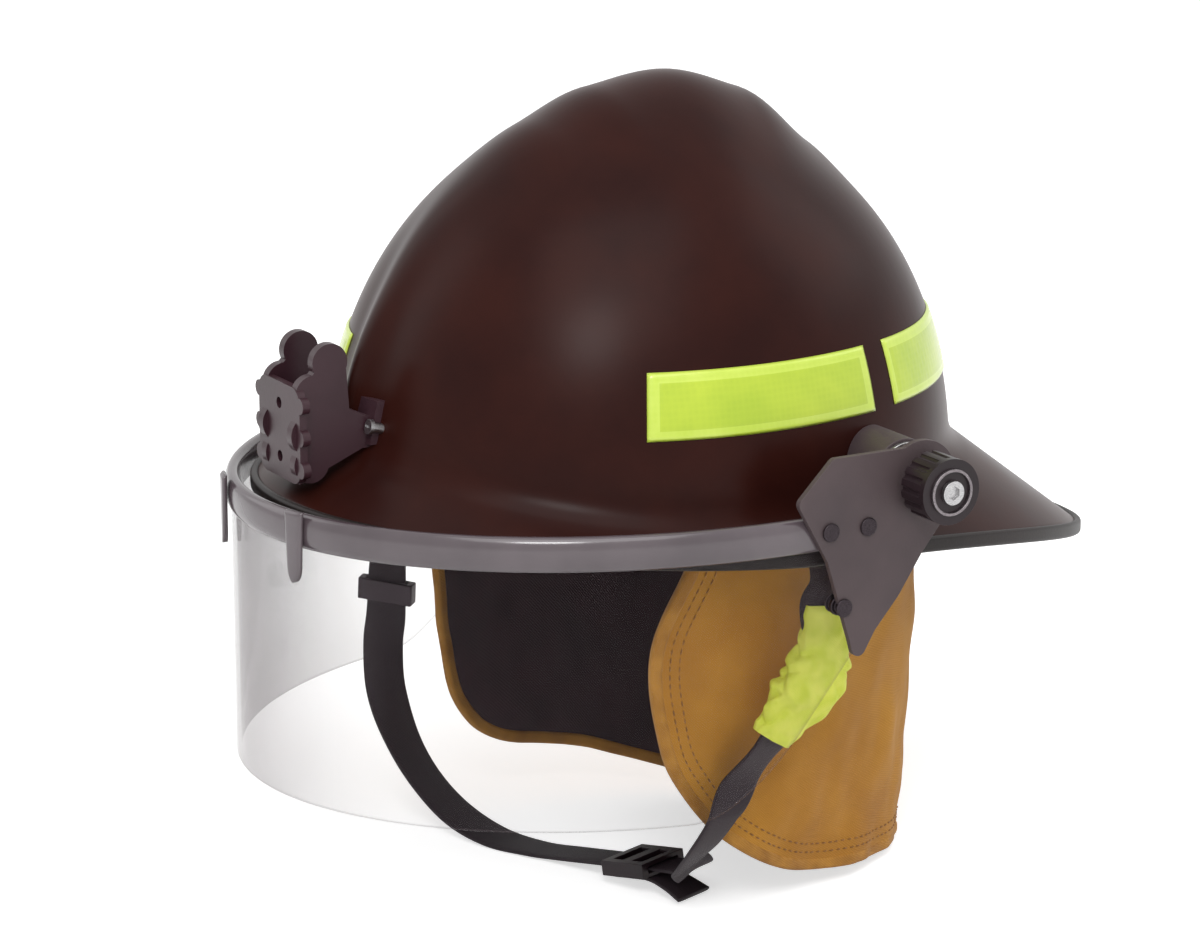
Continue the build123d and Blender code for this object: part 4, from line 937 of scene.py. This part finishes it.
class HELMET_OT_shield_bar(bpy.types.Operator):
    """Build the shield's glossy bar, with a rounded section"""
    bl_idname = "helmet.shield_bar"
    bl_label = "Shield bar"

    def execute(self, context):
        section = []
        for cx, cy in circle(32):
            swell = (abs(cx) ** FRAME_SQUARENESS + abs(cy) ** FRAME_SQUARENESS)
            swell **= -1 / FRAME_SQUARENESS
            section.append((FRAME_THICKNESS / 2 * (1 + cx * swell),
                            FRAME_HEIGHT / 2 * (cy * swell - 1)))
        travels = [-1 + i / 6 for i in range(6)] + [i / 120 for i in range(121)]
        travels += [1 + i / 6 for i in range(1, 7)]
        rows = [[shield_point(t, inset, z) for inset, z in section] for t in travels]
        add_piece("visor_frame_bar", "visor", "frame_plastic",
                  grid_mesh("visor_frame_bar", rows, close_row=True, cap=True), "visor_frame")
        return {"FINISHED"}


class HELMET_OT_lens(bpy.types.Operator):
    """Build the clear lens"""
    bl_idname = "helmet.lens"
    bl_label = "Lens"

    def execute(self, context):
        reach = LENS_REAR_Y / FRAME_REACH_Y
        travels = [-reach * (1 - i / 10) for i in range(10)] + [i / 160 for i in range(161)]
        travels += [1 + reach * i / 10 for i in range(1, 11)]
        rows = []
        for travel in travels:
            low = lens_bottom(shield_point(travel, 3, 0).y)
            steps = [i / LENS_ROWS for i in range(LENS_ROWS + 1)]
            ring = [(LENS_INSET, LENS_TOP_Z - (LENS_TOP_Z - low) * t) for t in steps]
            ring += [(LENS_INSET + LENS_THICKNESS * 0.5, low - 0.4)]
            ring += [(LENS_INSET + LENS_THICKNESS, low + (LENS_TOP_Z - low) * t) for t in steps]
            rows.append([shield_point(travel, inset, z) for inset, z in ring])
        piece = add_piece("visor_lens_sheet", "visor", "clear_polycarbonate",
                          grid_mesh("visor_lens_sheet", rows, close_row=True, cap=True),
                          "visor_lens")
        piece.data.set_sharp_from_angle(angle=math.radians(60))
        return {"FINISHED"}


class HELMET_OT_plates(bpy.types.Operator):
    """Build the side plates with their bushes and rivets"""
    bl_idname = "helmet.plates"
    bl_label = "Side plates"

    def execute(self, context):
        for side in ("left", "right"):
            softened("visor_plate_" + side, "plate_plastic", 0.7, 3)
            softened("pivot_bush_" + side, "plate_plastic", 0.3, 1)
        softened("visor_rivets", "steel", 0.7, 3, "black_steel")
        return {"FINISHED"}


class HELMET_OT_clips(bpy.types.Operator):
    """Build the two tongues that hook over the bar and narrow to a round end"""
    bl_idname = "helmet.clips"
    bl_label = "Shield clips"

    def execute(self, context):
        tubes = []
        for x in (size("clip_spacing") / 2, -size("clip_spacing") / 2):
            rows = []
            for i in range(CLIP_STEPS + 1):
                drop = i / CLIP_STEPS
                end = math.sqrt(max(0.02, 1 - max(0.0, (drop - 0.8) / 0.2) ** 2))
                half = 4.0 * (1 - 0.35 * drop) * end
                thick = 1.15 if i else 0.7
                row = []
                for a, b in rounded_section(1.0, 1.0, 0.5, 3):
                    at = x + a * half
                    surface = SHIELD_FRONT * math.sqrt(1 - (at / SHIELD_HALF_WIDTH) ** 2)
                    row.append(Vector((at, -surface - 0.25 - thick + b * thick,
                                       CLIP_TOP_Z - CLIP_DROP * drop)))
                rows.append(row)
            tubes.append(rows)
        add_piece("visor_clip_tongues", "visor", "frame_plastic",
                  joined_tubes("visor_clip_tongues", tubes), "visor_clips")
        return {"FINISHED"}


class HELMET_OT_brackets(bpy.types.Operator):
    """Build the pivot brackets and their friction washers"""
    bl_idname = "helmet.brackets"
    bl_label = "Pivot brackets"

    def execute(self, context):
        for side in ("left", "right"):
            softened("pivot_bracket_" + side, "plate_plastic", 0.8, 3)
            softened("friction_washer_" + side, "steel", 0.2, 1)
        return {"FINISHED"}


class HELMET_OT_knobs(bpy.types.Operator):
    """Build the two ribbed knobs with their plated rings, screws and springs"""
    bl_idname = "helmet.knobs"
    bl_label = "Knobs"

    def execute(self, context):
        for side, out_x in (("left", 1), ("right", -1)):
            softened("visor_knob_" + side, "knob_plastic", 0.45)
            softened("knob_screw_" + side, "steel")
            self.ring(side, out_x)
            self.spring(side)
        return {"FINISHED"}

    def ring(self, side, out_x):
        low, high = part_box("knob_ring_" + side)
        face = (high.x if out_x > 0 else low.x) / MM
        rows = []
        for c, s in circle(64):
            out = Vector((0, c, s))
            centre = Vector((face - out_x * RING_DEPTH, PIVOT_Y, PIVOT_Z))
            centre += out * size("ring_radius")
            rows.append([centre + out * (size("ring_width") / 2 * a)
                         + Vector((RING_DEPTH * b, 0, 0))
                         for a, b in rounded_section(1, 1, 0.5, 3)])
        add_piece("knob_ring_thin_" + side, "knob_" + side, "steel",
                  grid_mesh("knob_ring_thin_" + side, rows, close_row=True, close_rows=True),
                  "knob_ring_" + side, "ring_steel")

    def spring(self, side):
        low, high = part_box("knob_spring_" + side)
        start, end = low[0] / MM, high[0] / MM
        wire = size("spring_wire") / 2
        steps = 96
        rows = []
        for i in range(steps + 1):
            turn = 2 * math.pi * SPRING_TURNS * i / steps
            rise = start + wire + (end - start - 2 * wire) * i / steps
            out = Vector((0, math.cos(turn), math.sin(turn)))
            centre = Vector((rise, PIVOT_Y, PIVOT_Z)) + out * SPRING_RADIUS
            rows.append([centre + out * (wire * c) + Vector((wire * s, 0, 0))
                         for c, s in circle(10)])
        add_piece("knob_coil_" + side, "helmet", "steel",
                  grid_mesh("knob_coil_" + side, rows, close_row=True, cap=True),
                  "knob_spring_" + side)


# ---------------------------------------------------------------- head suspension
def pad_piece(name, node, start, end, centre_y):
    """Sewn pad against the headband: crowned, with seams across it and a puckered edge."""
    columns, up = 96, 18

    def place(reach, j, share):
        turn = math.radians(start + (end - start) * j / columns)
        return Vector((reach * math.cos(turn), centre_y + reach * math.sin(turn),
                       BAND_CENTRE_Z + share * PAD_HALF_HEIGHT))

    rows = []
    for i in range(up + 1):
        share = -1 + 2 * i / up
        row = []
        for j in range(columns + 1):
            along = min(j, columns - j) / columns * abs(end - start) * 1.35
            edge = min(1.0, along / 6) ** 0.5 * (1 - abs(share) ** 3.2) ** 0.6
            seam = 1 - 0.45 * max(0.0, 1 - (abs(math.sin(math.pi * j / 16)) / 0.22)) ** 2
            pucker = 0.3 * noise.noise(Vector((j * 0.35, share * 3, 1.7)))
            thick = 0.5 + (size("pad_depth") + pucker) * edge * seam
            row.append(place(HEAD_RADIUS - 0.3 - thick, j, share))
        rows.append(row)
    for i in range(up + 1):
        rows.append([place(HEAD_RADIUS - 0.35, j, 1 - 2 * i / up) for j in range(columns + 1)])
    piece = add_piece(name, "helmet", "pad_cloth",
                      grid_mesh(name, list(zip(*rows)), close_row=True, cap=True), node)


class HELMET_OT_liner(bpy.types.Operator):
    """Build the foam impact liner"""
    bl_idname = "helmet.liner"
    bl_label = "Impact liner"

    def execute(self, context):
        softened("impact_liner", "liner_foam", 1.5, 3)
        return {"FINISHED"}


class HELMET_OT_headband(bpy.types.Operator):
    """Build the headband and the hangers that hold it"""
    bl_idname = "helmet.headband"
    bl_label = "Headband"

    def execute(self, context):
        softened("headband", "band_plastic", 0.5)
        softened("suspension_hangers", "band_plastic")
        return {"FINISHED"}


class HELMET_OT_pads(bpy.types.Operator):
    """Build the brow and nape pads, and the crown pad quilted in rings"""
    bl_idname = "helmet.pads"
    bl_label = "Pads"

    def execute(self, context):
        pad_piece("brow_pad_sewn", "brow_pad", 205, 335, FRONT_ARC_Y)
        pad_piece("nape_pad_sewn", "nape_pad", 50, 130, ARC_CENTRE_Y)
        rows = []
        rings = 22
        for face in (1, -1):
            for i in range(rings + 1):
                share = i / rings if face > 0 else 1 - i / rings
                reach = CROWN_PAD_RADIUS * 0.985 * share
                quilt = 0.5 * abs(math.sin(math.pi * share * 3)) if face < 0 else 0.0
                bulge = size("crown_pad_depth") * max(0.0, 1 - share ** 5) ** 0.5
                arch = math.sqrt(CROWN_PAD_CURVE ** 2 - reach ** 2) - CROWN_PAD_CURVE
                z = CROWN_TOP_Z - CROWN_PAD_DROP + arch + face * (bulge - quilt)
                rows.append([Vector((reach * c, HEAD_CENTRE_Y + reach * s, z))
                             for c, s in circle(72)])
        piece = add_piece("crown_pad_quilt", "helmet", "pad_cloth",
                          grid_mesh("crown_pad_quilt", rows, close_row=True), "crown_pad")
        return {"FINISHED"}


class HELMET_OT_crown_straps(bpy.types.Operator):
    """Build the two webbing straps that cross over the head"""
    bl_idname = "helmet.crown_straps"
    bl_label = "Crown straps"

    def execute(self, context):
        width = size("crown_strap_width")
        across, along = [], []
        for i in range(25):
            turn = math.pi * i / 24
            for route, half, top in ((across, STRAP_HALF_ACROSS, CROWN_TOP_Z),
                                     (along, STRAP_HALF_ALONG, CROWN_TOP_Z + CROWN_STRAP_STEP)):
                reach = (half + 0.8) * math.cos(turn)
                z = STRAP_END_Z + (top + 0.8 - STRAP_END_Z) * math.sin(turn)
                if route is along:
                    route.append(((0, HEAD_CENTRE_Y + reach, z), (1, 0, 0), width))
                else:
                    route.append(((reach, HEAD_CENTRE_Y, z), (0, 1, 0), width))
        ribbon_piece("crown_strap_across", "helmet", "crown_webbing", across, 1.5, 120, 0.25,
                     "crown_straps")
        ribbon_piece("crown_strap_along", "helmet", "crown_webbing", along, 1.5, 120, 0.25)
        return {"FINISHED"}


class HELMET_OT_ratchet(bpy.types.Operator):
    """Build the ratchet: racks, keepers, pinion, housing, cover and knob"""
    bl_idname = "helmet.ratchet"
    bl_label = "Ratchet"

    def execute(self, context):
        for node in ("left_rack", "right_rack", "rack_keepers", "ratchet_pinion"):
            softened(node, "band_plastic", 0.2, 1)
        softened("ratchet_housing", "band_plastic", 0.6)
        softened("ratchet_cover", "band_plastic", 0.5)
        softened("ratchet_knob", "knob_plastic", 0.5)
        return {"FINISHED"}


# ---------------------------------------------------------------- neck flap
def flap_half(z):
    """Half width and half length of the flap's cone at a height."""
    share = (FLAP_TOP_Z - z) / (FLAP_TOP_Z - FLAP_LOW_Z)
    return [top + (low - top) * share for top, low in zip(FLAP_TOP_HALF, FLAP_LOW_HALF)]


def outward(point):
    """Direction out of the cloth at a place on it."""
    return Vector((point.x / FLAP_OUT[0] ** 2, point.y / FLAP_OUT[1] ** 2, 0)).normalized()


def flap_fold(turn, z):
    """How far the cloth leaves its cone: soft folds that deepen down to the hem."""
    down = min(1.0, max(0.0, (FLAP_TOP_Z - z) / 150))
    broad = math.sin(turn * 5.0 + 0.8 * math.sin(turn * 2) + z * 0.012)
    fine = noise.noise(Vector((turn * 4.5, z * 0.035, 3.1)))
    small = noise.noise(Vector((turn * 11, z * 0.06, 7.7)))
    return (down * (size("fold_sweep") * broad + size("fold_depth") * fine)
            + 0.7 * small * (0.3 + down))


def flap_place(turn, z, sink=0.0):
    """Place on the hanging cloth: turn is 0 at the back, positive to the left."""
    half_width, half_length = flap_half(z)
    base = Vector((half_width * math.sin(turn), half_length * math.cos(turn), z))
    back = max(0.0, math.cos(turn)) ** 4 * math.exp(-((z + 32) / 34) ** 2)
    return base + outward(base) * (flap_fold(turn, z) - sink - 4.5 * back)


def flap_edge(share, inset=0.0):
    """Turn and height on the free edge, moved in: share -1 right corner, 0 back, 1 left."""
    depth = 1 - abs(share)
    outline = [(0, y, z) for y, z in (FLAP_LEFT_EDGE if share > 0 else FLAP_RIGHT_EDGE)]
    point = catmull(outline, depth)
    run = catmull(outline, min(1.0, depth + 0.01)) - catmull(outline, max(0.0, depth - 0.01))
    length = math.hypot(run.y, run.z)
    z = min(point.z + inset * run.y / length, FLAP_TOP_Z)
    y = point.y - inset * run.z / length
    turn = math.acos(max(-1.0, min(1.0, y / flap_half(z)[1])))
    return math.copysign(turn, share), z


def flap_layer(name, node, slot, sink, thickness):
    """One layer of the flap, as rows from the back seam to the free edges."""
    inset = 1.0
    rows = []
    for i in range(FLAP_ROWS + 1):
        share = 1 - i / FLAP_ROWS if i < FLAP_ROWS else 1e-9
        left_turn, left_z = flap_edge(share, inset)
        right_turn, right_z = flap_edge(-share, inset)
        back_z = (left_z + right_z) / 2
        row = []
        for j in range(-FLAP_COLUMNS, FLAP_COLUMNS + 1):
            reach = abs(j) / FLAP_COLUMNS
            turn, edge_z = (left_turn, left_z) if j > 0 else (right_turn, right_z)
            z = back_z + (edge_z - back_z) * reach * reach * (3 - 2 * reach)
            row.append(flap_place(turn * reach if j > 0 else -abs(turn) * reach, z, sink))
        rows.append(row)
    piece = add_piece(name, "helmet", slot, grid_mesh(name, rows), node)
    thicken(piece, thickness, 0.0)
    return piece


def edge_frames(inset, count):
    """Points along the free edge with their directions along, inward and outward."""
    points = [flap_place(*flap_edge(1 - 2 * k / count, inset)) for k in range(count + 1)]
    frames = []
    for k, point in enumerate(points):
        along = (points[min(k + 1, count)] - points[max(k - 1, 0)]).normalized()
        out = outward(point)
        out = (out - along * out.dot(along)).normalized()
        frames.append((point, along, along.cross(out), out))
    return frames


def stitch_run(name, inset):
    """Thread stitches laid along the free edge."""
    spacing, length = size("stitch_spacing"), size("stitch_length")
    radius = size("thread_width") / 2
    frames = edge_frames(inset, 1400)
    tubes = []
    travelled, next_at = 0.0, spacing
    for (a, along, inward, out), (b, _, _, _) in zip(frames, frames[1:]):
        travelled += (b - a).length
        if travelled < next_at:
            continue
        next_at += spacing
        rows = []
        for t in (-1, -0.5, 0, 0.5, 1):
            swell = radius * math.sqrt(max(0.05, 1 - t * t))
            rows.append([a + along * (t * length / 2) + out * (0.05 + swell * s - 0.25 * t * t)
                         + inward * swell * c for c, s in circle(6)])
        tubes.append(rows)
    return add_piece(name, "helmet", "binding_tape", joined_tubes(name, tubes), look="thread")


class HELMET_OT_flap(bpy.types.Operator):
    """Build the neck flap: outer cloth, lining, edge tape, stitching and hook band"""
    bl_idname = "helmet.flap"
    bl_label = "Neck flap"

    def execute(self, context):
        outer = flap_layer("flap_outer_cloth", "neck_flap", "flap_cloth", 0.8, 1.3)
        lining = flap_layer("flap_lining_cloth", "flap_lining", "lining_cloth", 2.3, 0.8)
        half_width = size("binding_width") / 2
        section = rounded_section(half_width, 1.9, 1.5)
        rows = []
        for k, (point, _, inward, out) in enumerate(edge_frames(half_width, 420)):
            ripple = 1 + 0.1 * noise.noise(Vector((k * 0.21, 0, 5.5)))
            rows.append([point + inward * x + out * (y * ripple - 1.45) for x, y in section])
        tape = add_piece("flap_edge_tape", "helmet", "binding_tape",
                         grid_mesh("flap_edge_tape", rows, close_row=True, cap=True),
                         "flap_binding")
        stitching = [stitch_run("flap_stitch_row_%d" % row, inset)
                     for row, inset in ((1, 7.6), (2, 11.2))]
        softened("flap_hook_band", "lining_cloth", 0.8)
        return {"FINISHED"}


# ---------------------------------------------------------------- chin strap
class HELMET_OT_chin_strap(bpy.types.Operator):
    """Build the chin strap's webbing with its two end loops, and its tail"""
    bl_idname = "helmet.chin_strap"
    bl_label = "Chin strap"

    def execute(self, context):
        ribbon_piece("chin_strap_webbing", "chin_strap", "chin_webbing", STRAP_ROUTE,
                     STRAP_THICKNESS, 420, 0.5, "chin_strap")
        self.loop("strap_loop_left", LEFT_ANCHOR)
        self.loop("strap_loop_right", RIGHT_ANCHOR)
        self.tail()
        return {"FINISHED"}

    def loop(self, name, anchor):
        axis = Vector(SWING_AXIS)
        side = axis.cross(Vector((0, 0, 1))).normalized()
        up = side.cross(axis)
        rows = []
        for c, s in circle(40):
            out = side * c + up * s
            rows.append([anchor + out * (LOOP_RADIUS + y * 0.7) + axis * (x * 5)
                         for x, y in rounded_section(1, 1, 0.4, 2)])
        add_piece(name, "chin_strap", "chin_webbing",
                  grid_mesh(name, rows, close_row=True, close_rows=True))

    def tail(self):
        start, end = Vector(RUN_START), Vector(RUN_END)
        middle = start + (end - start) * BUCKLE_SHARE
        along = (end - start).normalized()
        wide = Vector(RUN_ACROSS)
        wide = (wide - along * wide.dot(along)).normalized()
        off = along.cross(wide)
        route = [(middle + along * a + off * n, wide, w) for a, n, w in TAIL_STOPS]
        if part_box("strap_tail")[0].z / MM < route[0][0].z - TAIL_SLACK:
            raise RuntimeError("the strap's tail is far from the buckle")
        ribbon_piece("strap_tail_webbing", "buckle", "chin_webbing", route, STRAP_THICKNESS, 60,
                     0.0, "strap_tail")


class HELMET_OT_sleeve(bpy.types.Operator):
    """Build the gathered lime sleeve round the strap's left leg, bunched into creases"""
    bl_idname = "helmet.sleeve"
    bl_label = "Strap sleeve"

    def execute(self, context):
        points, acrosses, _ = zip(*STRAP_ROUTE[SLEEVE_STOPS])
        half_width, half_depth = size("sleeve_width") / 2, size("sleeve_depth") / 2
        rows = []
        steps = 130
        for i in range(steps + 1):
            share = i / steps
            here, wide, up = ribbon_frame(points, acrosses, share, 0.01)
            body = blend_profile(SLEEVE_SWELL, share)
            row = []
            for cx, cy in circle(96):
                flat = (abs(cx) ** 3.0 + abs(cy) ** 3.0) ** (-1 / 3.0)
                crease = max(0.0, 1.1 - 3.4 * abs(noise.noise(Vector((share * 5.5, cx, cy)))))
                wander = noise.noise(Vector((cx * 1.1, cy * 1.1, share * 3)))
                lines = math.sin(share * 30 + 4.5 * wander)
                bunch = noise.noise(Vector((share * 3.4, cx * 0.7, cy * 0.7 + 3)))
                swell = body * (1.12 - 0.15 * crease + 0.26 * bunch) + 0.03 * lines
                out = wide * (cx * half_width) + up * (cy * half_depth)
                row.append(here + out * flat * swell)
            rows.append(row)
        name = "strap_sleeve_gathered"
        piece = add_piece(name, "chin_strap", "lime_cloth",
                          grid_mesh(name, rows, close_row=True), "strap_sleeve")
        thicken(piece, 0.5, -1.0)
        return {"FINISHED"}


class HELMET_OT_strap_fittings(bpy.types.Operator):
    """Build the strap's buckle, slider and two hangers"""
    bl_idname = "helmet.strap_fittings"
    bl_label = "Strap fittings"

    def execute(self, context):
        softened("strap_buckle", "knob_plastic", 0.9, 3)
        softened("strap_slider", "steel", 0.9, 3, "black_steel")
        softened("strap_hanger_left", "steel", 0.3)
        softened("strap_hanger_right", "steel", 0.3)
        return {"FINISHED"}


# ---------------------------------------------------------------- stage
def seen_directly(tree):
    """1 where the background is seen by the camera, in a gloss or through a clear sheet."""
    path = add_node(tree, "ShaderNodeLightPath")
    direct = add_node(tree, "ShaderNodeMath", {"operation": "MAXIMUM"},
                      {0: path.outputs["Is Camera Ray"], 1: path.outputs["Is Transmission Ray"]})
    return add_node(tree, "ShaderNodeMath", {"operation": "MAXIMUM"},
                    {0: direct.outputs[0], 1: path.outputs["Is Glossy Ray"]}).outputs[0]


def floor_paint():
    """Matte white paint, brightened only where it is seen directly."""
    material, tree = start_material("floor_paint_matte")
    seen = seen_directly(tree)
    grain = add_node(tree, "ShaderNodeTexNoise", {"Scale": 40.0})
    ramp = add_node(tree, "ShaderNodeValToRGB", {"stops": ((0.35, "#ececec"), (0.65, "#efefef"))},
                    {"Fac": grain.outputs["Fac"]})
    paint = add_node(tree, "ShaderNodeBsdfDiffuse", {"Roughness": 0.8},
                     {"Color": ramp.outputs["Color"]})
    glow = add_node(tree, "ShaderNodeEmission", {"Color": (1, 1, 1, 1), "Strength": FLOOR_GLOW})
    both = add_node(tree, "ShaderNodeAddShader", links={0: paint.outputs[0], 1: glow.outputs[0]})
    mix = add_node(tree, "ShaderNodeMixShader",
                   links={0: seen, 1: paint.outputs[0], 2: both.outputs[0]})
    add_node(tree, "ShaderNodeOutputMaterial", links={"Surface": mix.outputs[0]})
    return material


class HELMET_OT_stage(bpy.types.Operator):
    """Set the floor, the world, the lamps and the camera"""
    bl_idname = "helmet.stage"
    bl_label = "Stage"

    def execute(self, context):
        scene = context.scene
        settings = scene.helmet_stage
        z = CAD_BOX[0].z - FLOOR_GAP
        mesh = bpy.data.meshes.new("floor")
        mesh.from_pydata([(x * FLOOR_HALF, y * FLOOR_HALF, z)
                          for x, y in ((-1, -1), (1, -1), (1, 1), (-1, 1))], [], [(0, 1, 2, 3)])
        mesh.materials.append(floor_paint())
        floor = bpy.data.objects.new("floor", mesh)
        scene.collection.objects.link(floor)

        scene.world = bpy.data.worlds.new("studio")
        scene.world.use_nodes = True
        tree = scene.world.node_tree
        tree.nodes.clear()
        fill, white = (add_node(tree, "ShaderNodeBackground",
                                {"Color": (1, 1, 1, 1), "Strength": strength})
                       for strength in (settings.fill, 1.0))
        mix = add_node(tree, "ShaderNodeMixShader",
                       links={0: seen_directly(tree), 1: fill.outputs[0], 2: white.outputs[0]})
        add_node(tree, "ShaderNodeOutputWorld", links={"Surface": mix.outputs[0]})

        for name, (place, share, width) in LAMPS.items():
            light = bpy.data.lights.new(name, "AREA")
            light.energy = settings.key * share
            light.size = width
            lamp = bpy.data.objects.new(name, light)
            lamp.location = place
            lamp.rotation_mode = "QUATERNION"
            lamp.rotation_quaternion = Vector(place).to_track_quat("Z", "Y")
            scene.collection.objects.link(lamp)

        azimuth, elevation = settings.azimuth, settings.elevation
        right = Vector((math.cos(azimuth), math.sin(azimuth), 0))
        back = Vector((math.sin(azimuth) * math.cos(elevation),
                       -math.cos(azimuth) * math.cos(elevation), math.sin(elevation)))
        camera_data = bpy.data.cameras.new("camera")
        camera_data.lens = settings.focal_length
        camera_data.sensor_width = 36.0
        camera = bpy.data.objects.new("camera", camera_data)
        camera.location = (back * settings.distance - right * FRAMING[0]
                           - back.cross(right) * FRAMING[1])
        camera.rotation_mode = "QUATERNION"
        camera.rotation_quaternion = (-back).to_track_quat("-Z", "Y")
        scene.collection.objects.link(camera)
        scene.camera = camera
        scene.view_settings.view_transform = "Standard"
        return {"FINISHED"}


# ---------------------------------------------------------------- add-on
class HELMET_PT_panel(bpy.types.Panel):
    """Lists the pieces of the helmet and their settings"""
    bl_idname = "HELMET_PT_panel"
    bl_label = "Helmet"
    bl_space_type = "VIEW_3D"
    bl_region_type = "UI"
    bl_category = "Helmet"

    def draw(self, context):
        for operator in OPERATORS:
            self.layout.operator(operator.bl_idname)
        for key, group in GROUPS.items():
            for setting in group.__annotations__:
                self.layout.prop(getattr(context.scene, key), setting)


GROUPS = {"helmet_colours": HelmetColours, "helmet_sizes": HelmetSizes,
          "helmet_stage": HelmetStage}
OPERATORS = [HELMET_OT_stage, HELMET_OT_shell, HELMET_OT_edge, HELMET_OT_strips,
             HELMET_OT_holder, HELMET_OT_shield_bar, HELMET_OT_lens, HELMET_OT_plates,
             HELMET_OT_clips, HELMET_OT_brackets, HELMET_OT_knobs, HELMET_OT_liner,
             HELMET_OT_headband, HELMET_OT_pads, HELMET_OT_crown_straps, HELMET_OT_ratchet,
             HELMET_OT_flap, HELMET_OT_chin_strap, HELMET_OT_sleeve, HELMET_OT_strap_fittings]
CLASSES = [*GROUPS.values(), *OPERATORS, HELMET_PT_panel]


def register():
    for cls in CLASSES:
        bpy.utils.register_class(cls)
    for key, group in GROUPS.items():
        setattr(bpy.types.Scene, key, bpy.props.PointerProperty(type=group))


def unregister():
    for key in GROUPS:
        delattr(bpy.types.Scene, key)
    for cls in reversed(CLASSES):
        bpy.utils.unregister_class(cls)


def main():
    register()
    for node in frame["nodes"].values():
        for slot in node.material_slots:
            slot.material = None
    for operator in OPERATORS:
        getattr(bpy.ops.helmet, operator.bl_idname.split(".")[1])()


if __name__ == "__main__":
    main()
